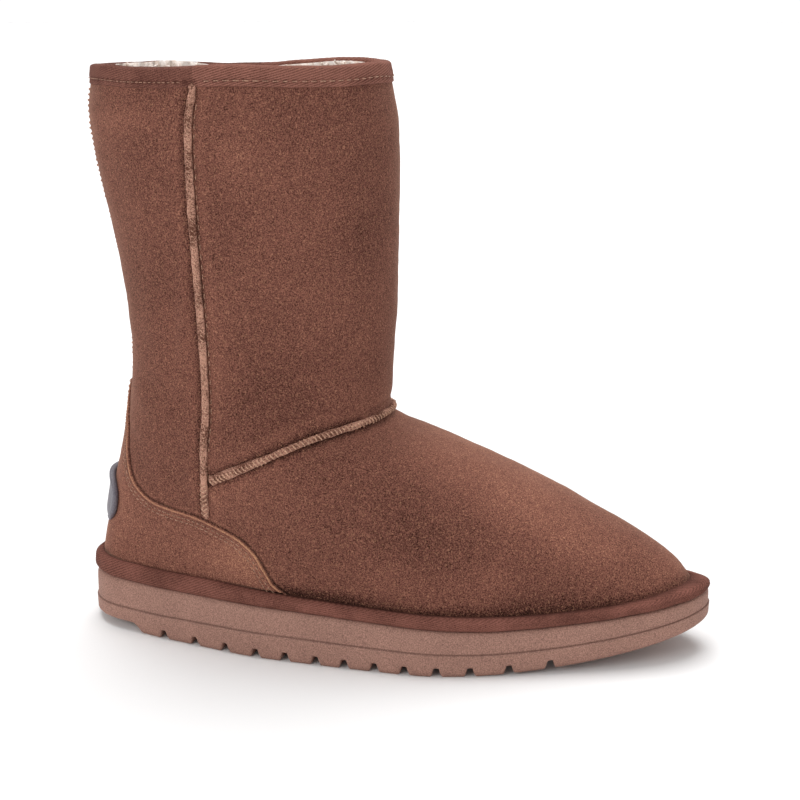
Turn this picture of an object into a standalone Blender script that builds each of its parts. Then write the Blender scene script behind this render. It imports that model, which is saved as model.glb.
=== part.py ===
"""Sheepskin boot for the right foot: a low shaft on a thick foam sole.

Metres, +Z up, toe towards +X, the wearer's left (inner) side towards +Y.
The origin is on the ground under the middle of the sole's box.
Inside the functions x runs forward from the back of the heel, and place() moves it to the origin.
"""

import math
from collections import namedtuple

import bmesh
import bpy
import numpy as np

# Driving sizes
SOLE_LENGTH = 0.290
BALL_WIDTH = 0.104
HEEL_WIDTH = 0.074
SHAFT_WIDTH = 0.100
INSTEP_HEIGHT = 0.104
COLLAR_HEIGHT = 0.261
HEEL_THICKNESS = 0.0244
BALL_THICKNESS = 0.0206
TOE_THICKNESS = 0.0135
TOE_SPRING = 0.0155
TOE_SWING = 0.010

# Walls, fits and small sizes
GAP = 0.0003
UPPER_WALL = 0.003
UPPER_INSET = 0.0045
INSOLE_CLEARANCE = 0.0006
INSOLE_THICKNESS = 0.006
INSOLE_ROUND = 0.001
WELT_HEIGHT = 0.0086
WELT_TOE_HEIGHT = 0.0062
WELT_BULGE = 0.0006
WELT_TUCK = 0.0019
COUNTER_THICKNESS = 0.0011
COUNTER_TOP = 0.117
SEAM_HEIGHT = 0.0015
SEAM_WIDTH = 0.0042
BACK_SEAM_WIDTH = 0.0050
VAMP_SEAM_HEIGHT = 0.0018
VAMP_SEAM_WIDTH = 0.0052
COLLAR_TAPE_HEIGHT = 0.0086
COLLAR_TAPE_THICKNESS = 0.0011
TAB_HEIGHT = 0.027
TAB_WIDTH = 0.034
TAB_THICKNESS = 0.0024
TAB_MIDDLE_HEIGHT = 0.0604
TAB_RIM_WIDTH = 0.0022
TAB_RECESS = 0.0007
TAB_ROUNDNESS = 0.75

# Tread and side of the sole
LUG_DEPTH = 0.003
NOTCH_WIDTH = 0.0022
NOTCH_FLARE = 0.0018
NOTCH_REACH = 0.024
NOTCH_SLANT = 0.35
TREAD_SPINE = 0.006
HEEL_BEVEL = 0.027
HEEL_BEVEL_RISE = 0.0042
PARTING_STEP = 0.0006
SOLE_TOP_ROUND = 0.0014
SOLE_BOTTOM_ROUND = 0.0012

# Where along the sole, as shares of its length, the width grows from the heel's to the ball's, the
# toe spring starts, and the foot's middle line crosses the axis
WIDENS_FROM = 0.16
WIDENS_TO = 0.62
SPRING_FROM = 0.62
SWING_ABOUT = 0.30

# Cutters reach this far past what they cut, and those at the back end inside the shaft
CUTTER_MARGIN = 0.010
BACK_CUT_TO = 0.18

# Mesh density
AROUND_SOLE = 80
AROUND_UPPER = 48
AROUND_TAB = 28

# Sole outline: a row per station. along is a share of the sole's length, outer and inner are the
# fullness of each edge as shares of the local width, which grows from HEEL_WIDTH to BALL_WIDTH.
Outline = namedtuple("Outline", "along outer inner")
OUTLINE = [
    Outline(0.00, 0.84, 0.84),
    Outline(0.08, 0.70, 0.70),
    Outline(0.16, 0.68, 0.69),
    Outline(0.30, 0.66, 0.45),
    Outline(0.40, 0.60, 0.37),
    Outline(0.50, 0.565, 0.365),
    Outline(0.60, 0.56, 0.425),
    Outline(0.68, 0.54, 0.475),
    Outline(0.78, 0.505, 0.515),
    Outline(0.88, 0.49, 0.50),
    Outline(1.00, 0.50, 0.45),
]

# Thickness of the sole along its length
Thickness = namedtuple("Thickness", "along metres")
THICKNESSES = [
    Thickness(-0.10, HEEL_THICKNESS),
    Thickness(0.15, HEEL_THICKNESS),
    Thickness(0.30, HEEL_THICKNESS),
    Thickness(0.65, BALL_THICKNESS),
    Thickness(0.88, (BALL_THICKNESS + TOE_THICKNESS) / 2.0),
    Thickness(1.00, TOE_THICKNESS),
]

# Side of the sole, of the welt and of the insole from below upwards: share counts up the height, and
# outwards is how far the side stands proud of the outline there
Level = namedtuple("Level", "share outwards")
SOLE_SIDE = [
    Level(0.00, -SOLE_BOTTOM_ROUND),
    Level(0.05, -SOLE_BOTTOM_ROUND * 0.2),
    Level(0.12, PARTING_STEP * 0.6),
    Level(0.37, PARTING_STEP),
    Level(0.40, 0.0),
    Level(0.90, 0.0),
    Level(0.97, -SOLE_TOP_ROUND * 0.4),
    Level(1.00, -SOLE_TOP_ROUND),
]
WELT_SIDE = [
    Level(0.00, -WELT_TUCK * 0.63),
    Level(0.18, WELT_BULGE * 0.4),
    Level(0.50, WELT_BULGE),
    Level(0.80, -WELT_TUCK * 0.16),
    Level(1.00, -WELT_TUCK),
]
INSOLE_SIDE = [
    Level(0.00, -INSOLE_ROUND * 0.6),
    Level(0.15, 0.0),
    Level(0.80, 0.0),
    Level(1.00, -INSOLE_ROUND),
]

# Upper: a row per ring from the sole to the collar. back and front are shares of the sole's length.
# back_up and front_up are heights: 0 on the sole, 1 at the instep, 2 at the collar. rear and fore are
# half widths as shares of the heel or ball width, which give way to SHAFT_WIDTH as shaft goes to 1.
# foot is how closely the ring still follows the sole's outline.
Ring = namedtuple("Ring", "back back_up front front_up rear fore foot shaft")
RINGS = [
    Ring(0.0155, 0.000, 0.980, 0.000, 0.62, 0.500, 1.00, 0.00),
    Ring(0.0172, 0.108, 0.966, 0.078, 0.62, 0.500, 0.90, 0.00),
    Ring(0.0225, 0.218, 0.941, 0.193, 0.62, 0.515, 0.76, 0.00),
    Ring(0.0305, 0.344, 0.905, 0.310, 0.62, 0.519, 0.54, 0.05),
    Ring(0.0372, 0.470, 0.849, 0.432, 0.61, 0.514, 0.35, 0.12),
    Ring(0.0450, 0.596, 0.776, 0.572, 0.60, 0.505, 0.22, 0.20),
    Ring(0.0544, 0.723, 0.686, 0.714, 0.57, 0.495, 0.12, 0.32),
    Ring(0.0622, 0.849, 0.599, 0.836, 0.52, 0.480, 0.05, 0.50),
    Ring(0.0680, 0.975, 0.521, 0.932, 0.47, 0.466, 0.00, 0.75),
    Ring(0.0728, 1.051, 0.4915, 1.019, 0.43, 0.450, 0.00, 1.00),
    Ring(0.0762, 1.127, 0.4945, 1.108, 0.43, 0.435, 0.00, 1.00),
    Ring(0.0766, 1.229, 0.4985, 1.223, 0.435, 0.435, 0.00, 1.00),
    Ring(0.0680, 1.389, 0.5028, 1.389, 0.455, 0.455, 0.00, 1.00),
    Ring(0.0536, 1.548, 0.5045, 1.548, 0.470, 0.470, 0.00, 1.00),
    Ring(0.0362, 1.707, 0.5059, 1.707, 0.485, 0.485, 0.00, 1.00),
    Ring(0.0252, 1.866, 0.5024, 1.866, 0.495, 0.495, 0.00, 1.00),
    Ring(0.0345, 2.000, 0.4870, 2.000, 0.497, 0.497, 0.00, 1.00),
]
COLLAR_RING = len(RINGS) - 1
WELT_RING = 1

# The welt's own height sets the ring that it reaches up to
RINGS[WELT_RING] = RINGS[WELT_RING]._replace(
    back_up=WELT_HEIGHT / (INSTEP_HEIGHT - HEEL_THICKNESS),
    front_up=WELT_TOE_HEIGHT / (INSTEP_HEIGHT - HEEL_THICKNESS),
)

# Where the upper and all that lies on it have their rings of points: close together at the instep's fold
FOOT_RINGS = [0.0, 0.5, 1.0, 1.5, 2.0, 2.5, 3.0, 4.0, 5.0, 6.0, 7.0]
FOLD_RINGS = [8.0 + i * 0.4 for i in range(7)]
SHAFT_RINGS = [11.0, 12.0, 13.0, 14.0, 15.0, 16.0]
STATIONS = FOOT_RINGS + FOLD_RINGS + SHAFT_RINGS

# Lines of the seams and of the counter's edge, seen from the side: along is a share of the sole's
# length from the back of the heel, and up counts as in the rings.
Point = namedtuple("Point", "along up")
SIDE_SEAM = [
    Point(0.2390, 1.950),
    Point(0.2340, 1.840),
    Point(0.2330, 1.600),
    Point(0.2365, 1.360),
    Point(0.2385, 1.180),
    Point(0.2400, 1.040),
    Point(0.2360, 0.860),
    Point(0.2325, 0.520),
]
VAMP_SEAM = [
    Point(0.2500, 0.735),
    Point(0.2900, 0.806),
    Point(0.3400, 0.886),
    Point(0.3900, 0.956),
    Point(0.4400, 1.000),
    Point(0.4900, 1.018),
    Point(0.5200, 1.027),
]
COUNTER_EDGE = [
    Point(0.0770, 1.090),
    Point(0.0800, 1.020),
    Point(0.0820, 0.900),
    Point(0.0850, 0.760),
    Point(0.0960, 0.640),
    Point(0.1250, 0.550),
    Point(0.1650, 0.515),
    Point(0.2150, 0.490),
    Point(0.2550, 0.445),
    Point(0.2900, 0.390),
    Point(0.3150, 0.310),
    Point(0.3320, 0.200),
    Point(0.3520, 0.080),
]

# Where the tread is notched along both edges, as shares of the sole's length: close at the waist
NOTCHES = [0.145, 0.202, 0.257, 0.310, 0.358, 0.408, 0.454, 0.502, 0.549, 0.598, 0.648, 0.705, 0.765]


def smooth_step(value):
    value = min(max(value, 0.0), 1.0)
    return value * value * (3.0 - 2.0 * value)


def smooth_curve(stations, rows):
    """A function of the station that runs smoothly through the rows, one value or several to a row."""
    stations = np.asarray(stations, float)
    rows = np.asarray(rows, float)
    slopes = np.gradient(rows, stations, axis=0)

    def value(at):
        index = int(np.clip(np.searchsorted(stations, at) - 1, 0, len(stations) - 2))
        span = stations[index + 1] - stations[index]
        t = (at - stations[index]) / span
        start = (1 + 2 * t) * (1 - t) ** 2 * rows[index] + t * (1 - t) ** 2 * span * slopes[index]
        return start + t**2 * (3 - 2 * t) * rows[index + 1] - t**2 * (1 - t) * span * slopes[index + 1]

    return value


def column(rows, name):
    return [getattr(row, name) for row in rows]


def widening(along):
    """0 at the heel, 1 at the ball."""
    return smooth_step((along - WIDENS_FROM) / (WIDENS_TO - WIDENS_FROM))


def local_width(along):
    return HEEL_WIDTH + (BALL_WIDTH - HEEL_WIDTH) * widening(along)


outer_share = smooth_curve(column(OUTLINE, "along"), column(OUTLINE, "outer"))
inner_share = smooth_curve(column(OUTLINE, "along"), column(OUTLINE, "inner"))


def fullness(along, inner):
    """Half width of the sole's outline before its ends round it off."""
    return (inner_share if inner else outer_share)(along) * local_width(along)


def middle_line(x):
    """How far the foot's middle swings inwards at x."""
    return TOE_SWING * (x / SOLE_LENGTH - SWING_ABOUT)


def sole_point(angle, outwards=0.0):
    """A point of the sole's outline from above, or of its parallel. Angle 0 is the heel, pi the toe."""

    def edge(a):
        along = (1.0 - math.cos(a)) / 2.0
        side = 1.0 if math.sin(a) < 0.0 else -1.0
        x = along * SOLE_LENGTH
        return np.array([x, middle_line(x) + side * abs(math.sin(a)) * fullness(along, side > 0.0)])

    point = edge(angle)
    if outwards:
        ahead = edge(angle + 0.004) - edge(angle - 0.004)
        point = point + outwards * np.array([ahead[1], -ahead[0]]) / np.hypot(*ahead)
    return point


def ground_clearance(x):
    """Height of the tread above the ground: the toe springs up in front of the ball."""
    share = (x / SOLE_LENGTH - SPRING_FROM) / (1.0 - SPRING_FROM)
    return TOE_SPRING * min(max(share, 0.0), 1.0) ** 2


sole_thickness = smooth_curve(column(THICKNESSES, "along"), column(THICKNESSES, "metres"))


def sole_top(x):
    return ground_clearance(x) + sole_thickness(x / SOLE_LENGTH)


def height(up):
    """Metres above the ground for 0 on the sole, 1 at the instep, 2 at the collar."""
    seat = HEEL_THICKNESS + GAP
    instep = (INSTEP_HEIGHT - seat) * min(up, 1.0)
    return seat + instep + (COLLAR_HEIGHT - INSTEP_HEIGHT) * max(up - 1.0, 0.0)


ring_row = smooth_curve(range(len(RINGS)), RINGS)


def upper_surface(angle, ring):
    """A point on the outside of the upper. ring counts the rows of RINGS and may lie between two."""
    row = Ring(*ring_row(ring))
    along = (1.0 - math.cos(angle)) / 2.0
    side = 1.0 if math.sin(angle) < 0.0 else -1.0
    x = SOLE_LENGTH * (row.back + (row.front - row.back) * along)
    rear = row.rear * (HEEL_WIDTH + (SHAFT_WIDTH - HEEL_WIDTH) * row.shaft)
    fore = row.fore * (BALL_WIDTH + (SHAFT_WIDTH - BALL_WIDTH) * row.shaft)
    own = rear + (fore - rear) * widening(along)
    inset = 1.0 - 2.0 * UPPER_INSET / local_width(along)
    half = row.foot * fullness(along, side > 0.0) * inset + (1.0 - row.foot) * own
    z = height(row.back_up) + (height(row.front_up) - height(row.back_up)) * along
    z += row.foot * (sole_top(x) - HEEL_THICKNESS)
    return np.array([x, middle_line(x) + side * abs(math.sin(angle)) * half, z])


def upper_normal(angle, ring):
    step = 0.01
    around = upper_surface(angle + step, ring) - upper_surface(angle - step, ring)
    low, high = max(ring - 0.1, 0.0), min(ring + 0.1, COLLAR_RING)
    normal = np.cross(around, upper_surface(angle, high) - upper_surface(angle, low))
    return normal / np.linalg.norm(normal)


def upper_point(angle, ring, outwards=0.0):
    """A point on the upper's outside, or as far outwards of it as asked."""
    point = upper_surface(angle, ring)
    return point + outwards * upper_normal(angle, ring) if outwards else point


def ring_at(angle, z):
    """The ring whose surface has the height z at this angle."""
    low, high = 0.0, float(COLLAR_RING)
    for _ in range(30):
        middle = (low + high) / 2.0
        if upper_surface(angle, middle)[2] < z:
            low = middle
        else:
            high = middle
    return (low + high) / 2.0


def level_point(angle, z, outwards):
    """The point of the upper's parallel that has the height z."""
    ring = ring_at(angle, z)
    flat = upper_normal(angle, ring)[:2]
    x, y = upper_surface(angle, ring)[:2] + outwards * flat / flat.dot(flat)
    return np.array([x, y, z])


def angles(count):
    return [2.0 * math.pi * i / count for i in range(count)]


OUTLINE_SIDES = [sole_point(angle)[1] for angle in angles(360)]
CENTRE = np.array([SOLE_LENGTH / 2.0, (min(OUTLINE_SIDES) + max(OUTLINE_SIDES)) / 2.0, 0.0])

# How far cutters reach across the boot, and from behind it into the shaft
ACROSS = (-max(BALL_WIDTH, SHAFT_WIDTH), max(BALL_WIDTH, SHAFT_WIDTH))
FROM_BEHIND = (-3.0 * CUTTER_MARGIN, SOLE_LENGTH * BACK_CUT_TO)
TAPE_EDGE = COLLAR_HEIGHT - COLLAR_TAPE_HEIGHT


def place(point):
    return tuple(float(v) for v in np.asarray(point) - CENTRE)


def clear_scene():
    for obj in list(bpy.data.objects):
        bpy.data.objects.remove(obj, do_unlink=True)


def collection(name):
    made = bpy.data.collections.new(name)
    bpy.context.scene.collection.children.link(made)
    return made


def material(name, hex_colour, roughness):
    made = bpy.data.materials.new(name)
    made.use_nodes = True
    channels = [int(hex_colour[i : i + 2], 16) / 255.0 for i in (0, 2, 4)]
    linear = [c / 12.92 if c <= 0.04045 else ((c + 0.055) / 1.055) ** 2.4 for c in channels]
    shader = made.node_tree.nodes["Principled BSDF"]
    shader.inputs["Base Color"].default_value = (*linear, 1.0)
    shader.inputs["Roughness"].default_value = roughness
    made.diffuse_color = (*linear, 1.0)
    return made


def add_object(name, mesh, group, finish=None):
    obj = bpy.data.objects.new(name, mesh)
    group.objects.link(obj)
    if finish:
        mesh.materials.append(finish)
        mesh.shade_smooth()
        mesh.set_sharp_from_angle(angle=math.radians(35.0))
    return obj


def closed_loops(name, loops, group, finish=None, ring_shaped=False, capped_across=False):
    """A solid lofted through loops of points, first loop to last.

    ring_shaped joins the last loop to the first, as on a tyre. capped_across closes the two ends
    with strips from one side to the other, for ends that bend along the length.
    """
    work = bmesh.new()
    grid = [[work.verts.new(place(point)) for point in loop] for loop in loops]
    count = len(loops[0])
    for level in range(len(loops) if ring_shaped else len(loops) - 1):
        lower, upper = grid[level], grid[(level + 1) % len(loops)]
        for i in range(count):
            j = (i + 1) % count
            work.faces.new((lower[i], lower[j], upper[j], upper[i]))
    if capped_across:
        for loop, flip in ((grid[0], True), (grid[-1], False)):
            for i in range(count // 2):
                corners = [loop[i], loop[i + 1], loop[count - i - 1], loop[(count - i) % count]]
                corners = list(dict.fromkeys(corners))
                work.faces.new(corners[::-1] if flip else corners)
    bmesh.ops.recalc_face_normals(work, faces=work.faces)
    mesh = bpy.data.meshes.new(name)
    work.to_mesh(mesh)
    work.free()
    return add_object(name, mesh, group, finish)


def prism(name, outline, axis, start, end, group):
    """A cutter: a closed outline swept along axis "x" or "y". Its points hold the other two sizes."""
    work = bmesh.new()

    def corner(pair, along):
        return place((along, pair[0], pair[1]) if axis == "x" else (pair[0], along, pair[1]))

    face = work.faces.new([work.verts.new(corner(pair, start)) for pair in outline])
    swept = bmesh.ops.extrude_face_region(work, geom=[face])
    for vert in (item for item in swept["geom"] if isinstance(item, bmesh.types.BMVert)):
        vert.co["xyz".index(axis)] += end - start
    bmesh.ops.recalc_face_normals(work, faces=work.faces)
    mesh = bpy.data.meshes.new(name)
    work.to_mesh(mesh)
    work.free()
    return hide_helper(add_object(name, mesh, group))


def hide_helper(obj):
    obj.hide_render = True
    obj.display_type = "WIRE"
    return obj


def boolean(target, cutter, operation):
    step = target.modifiers.new(cutter.name, "BOOLEAN")
    step.operation = operation
    step.object = cutter
    step.solver = "EXACT"


def upper_shell(name, inside, outside, group, finish=None):
    """A closed shell between two parallels of the upper, from the sole to the collar."""

    def loop(ring, outwards):
        made = []
        for angle in angles(AROUND_UPPER):
            point = upper_point(angle, ring, outwards)
            if ring in (0.0, COLLAR_RING):
                point[2] = upper_surface(angle, ring)[2]
            made.append(point)
        return made

    loops = [loop(ring, outside) for ring in STATIONS]
    loops += [loop(ring, inside) for ring in reversed(STATIONS)]
    return closed_loops(name, loops, group, finish, ring_shaped=True)


def line_points(points, steps):
    """A smooth line through the points of a seam, in metres seen from the side."""
    point_at = smooth_curve(range(len(points)), points)
    made = [point_at(i * (len(points) - 1) / steps) for i in range(steps + 1)]
    return np.array([(SOLE_LENGTH * along, height(up)) for along, up in made])


def strip_edge(line, sideways):
    """The parallel of a line seen from the side."""
    ahead = np.gradient(line, axis=0)
    across = np.array([-ahead[:, 1], ahead[:, 0]]).T / np.linalg.norm(ahead, axis=1)[:, None]
    return line + across * sideways


def strip_outline(points, width, steps):
    """The closed outline of a strip of this width along a seam's line."""
    line = line_points(points, steps)
    return list(strip_edge(line, width / 2.0)) + list(strip_edge(line, -width / 2.0)[::-1])


def keep_inside(shell, outline, axis, start, end, cutters):
    """Keeps only what of the shell lies inside a prism on this outline."""
    form = prism(shell.name + "_form", outline, axis, start, end, cutters)
    boolean(shell, form, "INTERSECT")
    return shell


def build_outsole(group, cutters, finish):
    """Foam sole: lofted side with its parting step, then the bevelled heel and the notches cut out."""
    loops = []
    for share, outwards in SOLE_SIDE:
        loop = []
        for angle in angles(AROUND_SOLE):
            x, y = sole_point(angle, outwards)
            station = min(max(sole_point(angle)[0], 0.0), SOLE_LENGTH)
            low, high = ground_clearance(station), sole_top(station)
            loop.append((x, y, low + (high - low) * share))
        loops.append(loop)
    sole = closed_loops("outsole", loops, group, finish, capped_across=True)
    below = -CUTTER_MARGIN
    front = HEEL_BEVEL + HEEL_BEVEL_RISE + CUTTER_MARGIN
    bevel = [(below, below), (front, below), (HEEL_BEVEL, HEEL_BEVEL_RISE), (below, HEEL_BEVEL_RISE)]
    boolean(sole, prism("heel_bevel", bevel, "y", *ACROSS, cutters), "DIFFERENCE")
    boolean(sole, notch_cutters(cutters), "DIFFERENCE")
    return sole


def notch_cutters(group):
    """One mesh with a flared wedge for each notch, set square to the sole's edge on both sides."""
    work = bmesh.new()
    half = NOTCH_WIDTH / 2.0
    below, flare_top = -LUG_DEPTH * 0.8, LUG_DEPTH * 0.55
    for along in NOTCHES:
        for side in (1.0, -1.0):
            angle = side * math.acos(1.0 - 2.0 * along)
            edge = sole_point(angle)
            inwards = edge - sole_point(angle, CUTTER_MARGIN)
            inwards = np.array([inwards[0] * NOTCH_SLANT, inwards[1]])
            inwards = inwards / np.hypot(*inwards)
            across = np.array([-inwards[1], inwards[0]])
            reach = min(NOTCH_REACH, abs(edge[1] - middle_line(edge[0])) - TREAD_SPINE)
            floor = ground_clearance(edge[0])
            section = [
                (-half - NOTCH_FLARE, floor + below),
                (-half, floor + flare_top),
                (-half, floor + LUG_DEPTH),
                (half, floor + LUG_DEPTH),
                (half, floor + flare_top),
                (half + NOTCH_FLARE, floor + below),
            ]
            ends = []
            for depth in (-CUTTER_MARGIN, reach):
                middle = edge + inwards * depth
                ends.append([work.verts.new(place((*(middle + across * s), z))) for s, z in section])
            work.faces.new(ends[0])
            work.faces.new(ends[1][::-1])
            for k in range(len(section)):
                n = (k + 1) % len(section)
                work.faces.new((ends[0][k], ends[1][k], ends[1][n], ends[0][n]))
    bmesh.ops.recalc_face_normals(work, faces=work.faces)
    mesh = bpy.data.meshes.new("notches")
    work.to_mesh(mesh)
    work.free()
    return hide_helper(add_object("notches", mesh, group))


def welt_top(x):
    """Height of the welt tape's upper edge above the ground."""
    return sole_top(x) + GAP + WELT_HEIGHT + (WELT_TOE_HEIGHT - WELT_HEIGHT) * x / SOLE_LENGTH


def build_welt(group, finish):
    """The rounded tape that binds the upper to the sole all round."""
    inner_rings = [ring for ring in reversed(STATIONS) if ring <= WELT_RING]
    loops = [[] for _ in WELT_SIDE + inner_rings]
    for angle in angles(AROUND_UPPER):
        station = min(max(sole_point(angle)[0], 0.0), SOLE_LENGTH)
        seat = sole_top(station) + GAP
        tall = upper_surface(angle, WELT_RING)[2] - seat
        for k, (share, outwards) in enumerate(WELT_SIDE):
            loops[k].append((*sole_point(angle, outwards), seat + tall * share))
        for k, ring in enumerate(inner_rings, len(WELT_SIDE)):
            inner = upper_point(angle, ring, GAP)
            loops[k].append((inner[0], inner[1], seat) if ring == 0.0 else inner)
    return closed_loops("welt", loops, group, finish, ring_shaped=True)


def build_insole(group, finish):
    """A slab on the sole's top, as wide as the upper's inside less its clearance."""
    inset = UPPER_WALL + INSOLE_CLEARANCE
    loops = []
    for share, outwards in INSOLE_SIDE:
        loop = []
        for angle in angles(AROUND_UPPER):
            station = upper_surface(angle, 0.0)[0]
            z = sole_top(station) + GAP + INSOLE_THICKNESS * share
            loop.append(level_point(angle, z, outwards - inset))
        loops.append(loop)
    return closed_loops("insole", loops, group, finish, capped_across=True)


def build_upper(group, finish):
    return upper_shell("upper", -UPPER_WALL, 0.0, group, finish)


def build_counter(group, cutters, finish):
    """The heel counter and its strip up the back, cut from a shell that lies on the upper."""
    shell = upper_shell("counter", GAP, GAP + COUNTER_THICKNESS, group, finish)
    edge = line_points(COUNTER_EDGE, 30)
    front = edge[-1][0]
    base = [(front * share, welt_top(front * share) + GAP) for share in np.linspace(1.0, 0.0, 9)]
    edge = [tuple(p) for p in edge if welt_top(p[0]) + 2.0 * GAP < p[1] < COUNTER_TOP - GAP]
    behind = FROM_BEHIND[0]
    outline = [(behind, COUNTER_TOP), (edge[0][0], COUNTER_TOP), *edge, *base, (behind, base[-1][1])]
    return keep_inside(shell, outline, "y", *ACROSS, cutters)


def build_side_seam(name, outer, group, cutters, finish):
    """The raised seam down one side of the shaft, from the collar tape to the counter."""
    shell = upper_shell(name, GAP, GAP + SEAM_HEIGHT, group, finish)
    outline = [(x, min(z, TAPE_EDGE - GAP)) for x, z in strip_outline(SIDE_SEAM, SEAM_WIDTH, 24)]
    sides = (ACROSS[0], middle_line(0.0)) if outer else (middle_line(0.0), ACROSS[1])
    return keep_inside(shell, outline, "y", *sides, cutters)


def build_vamp_seam(group, cutters, finish):
    """The raised seam over the instep, from one side seam to the other."""
    shell = upper_shell("vamp_seam", GAP, GAP + VAMP_SEAM_HEIGHT, group, finish)
    start = SOLE_LENGTH * max(column(SIDE_SEAM, "along")) + SEAM_WIDTH / 2.0 + GAP
    outline = [(max(x, start), z) for x, z in strip_outline(VAMP_SEAM, VAMP_SEAM_WIDTH, 20)]
    return keep_inside(shell, outline, "y", *ACROSS, cutters)


def build_back_seam(group, cutters, finish):
    """The raised seam up the middle of the back, from the counter's strip to the collar tape."""
    shell = upper_shell("back_seam", GAP, GAP + SEAM_HEIGHT, group, finish)
    low, high = COUNTER_TOP + GAP * 2.0, TAPE_EDGE - GAP * 2.0
    left, right = middle_line(0.0) + BACK_SEAM_WIDTH / 2.0, middle_line(0.0) - BACK_SEAM_WIDTH / 2.0
    outline = [(right, low), (left, low), (left, high), (right, high)]
    return keep_inside(shell, outline, "x", *FROM_BEHIND, cutters)


def build_collar_tape(group, finish):
    """The tape folded over the collar's edge: outside, over the top and inside."""
    inner = -UPPER_WALL
    skin = COLLAR_TAPE_THICKNESS
    section = [
        (COLLAR_TAPE_HEIGHT, GAP),
        (COLLAR_TAPE_HEIGHT, GAP + skin),
        (2.0 * GAP, GAP + skin),
        (-GAP - skin * 0.7, GAP + skin * 0.4),
        (-GAP - skin, inner / 2.0),
        (-GAP - skin * 0.7, inner - GAP - skin * 0.4),
        (2.0 * GAP, inner - GAP - skin),
        (COLLAR_TAPE_HEIGHT, inner - GAP - skin),
        (COLLAR_TAPE_HEIGHT, inner - GAP),
        (-GAP, inner - GAP),
        (-GAP, GAP),
    ]
    loops = [[] for _ in section]
    for angle in angles(AROUND_UPPER):
        for k, (below, outwards) in enumerate(section):
            x, y, _ = level_point(angle, min(COLLAR_HEIGHT - below, COLLAR_HEIGHT), outwards)
            loops[k].append((x, y, COLLAR_HEIGHT - below))
    return closed_loops("collar_tape", loops, group, finish, ring_shaped=True)


def tab_outline(inset):
    """A rounded rectangle that is nearly an oval, this far inside the tab's edge."""
    made = []
    for angle in angles(AROUND_TAB):
        c, s = math.cos(angle), math.sin(angle)
        y = (TAB_WIDTH / 2.0 - inset) * math.copysign(abs(c) ** TAB_ROUNDNESS, c)
        z = (TAB_HEIGHT / 2.0 - inset) * math.copysign(abs(s) ** TAB_ROUNDNESS, s)
        made.append((middle_line(0.0) + y, TAB_MIDDLE_HEIGHT + z))
    return made


def build_heel_tab(group, cutters, finish):
    """A plain soft tab on the back of the counter, with a raised rim round a bare middle."""
    seat = GAP * 2.0 + COUNTER_THICKNESS
    shell = upper_shell("heel_tab", seat, seat + TAB_THICKNESS, group, finish)
    keep_inside(shell, tab_outline(0.0), "x", *FROM_BEHIND, cutters)
    floor = seat + TAB_THICKNESS - TAB_RECESS
    hollow = hide_helper(upper_shell("heel_tab_hollow", floor, floor + TAB_THICKNESS, cutters))
    keep_inside(hollow, tab_outline(TAB_RIM_WIDTH), "x", *FROM_BEHIND, cutters)
    boolean(shell, hollow, "DIFFERENCE")
    return shell


def main():
    clear_scene()
    boot = collection("sheepskin_boot")
    cutters = collection("cutters")
    foam = material("sole_foam", "947264", 0.85)
    tape = material("twill_tape", "7C5248", 0.8)
    suede = material("sheepskin_suede", "7C503F", 0.95)
    edge = material("seam_edge", "AA7D62", 0.9)
    fleece = material("fleece", "EBDEDC", 1.0)
    rubber = material("tab_rubber", "787680", 0.55)
    build_outsole(boot, cutters, foam)
    build_upper(boot, suede)
    build_insole(boot, fleece)
    build_welt(boot, tape)
    build_counter(boot, cutters, suede)
    build_side_seam("outer_side_seam", True, boot, cutters, edge)
    build_side_seam("inner_side_seam", False, boot, cutters, edge)
    build_vamp_seam(boot, cutters, edge)
    build_back_seam(boot, cutters, edge)
    build_collar_tape(boot, tape)
    build_heel_tab(boot, cutters, rubber)


main()
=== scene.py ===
"""Looks of a sheepskin boot for the right foot: suede, fleece, twill tape, foam sole and sewing.

Metres, +Z up, toe towards +X, the wearer's left (inner) side towards +Y, ground at z = 0.
Inside the functions x runs forward from the back of the heel, and placed() moves it to the origin.
"""

import math
from collections import namedtuple

import bmesh
import bpy
import numpy as np
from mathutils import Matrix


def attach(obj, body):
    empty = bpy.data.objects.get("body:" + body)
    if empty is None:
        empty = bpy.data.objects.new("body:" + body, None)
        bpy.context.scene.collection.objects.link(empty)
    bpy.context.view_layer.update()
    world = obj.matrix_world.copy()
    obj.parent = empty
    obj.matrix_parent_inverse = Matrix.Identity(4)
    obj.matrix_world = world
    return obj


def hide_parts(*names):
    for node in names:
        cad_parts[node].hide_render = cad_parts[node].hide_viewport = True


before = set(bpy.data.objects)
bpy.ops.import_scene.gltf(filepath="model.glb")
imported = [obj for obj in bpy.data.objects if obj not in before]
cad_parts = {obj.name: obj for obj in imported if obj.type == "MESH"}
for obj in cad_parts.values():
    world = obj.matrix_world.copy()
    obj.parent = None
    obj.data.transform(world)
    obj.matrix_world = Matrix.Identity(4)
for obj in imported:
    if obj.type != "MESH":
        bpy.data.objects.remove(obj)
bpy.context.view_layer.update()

MM = 0.001

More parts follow.
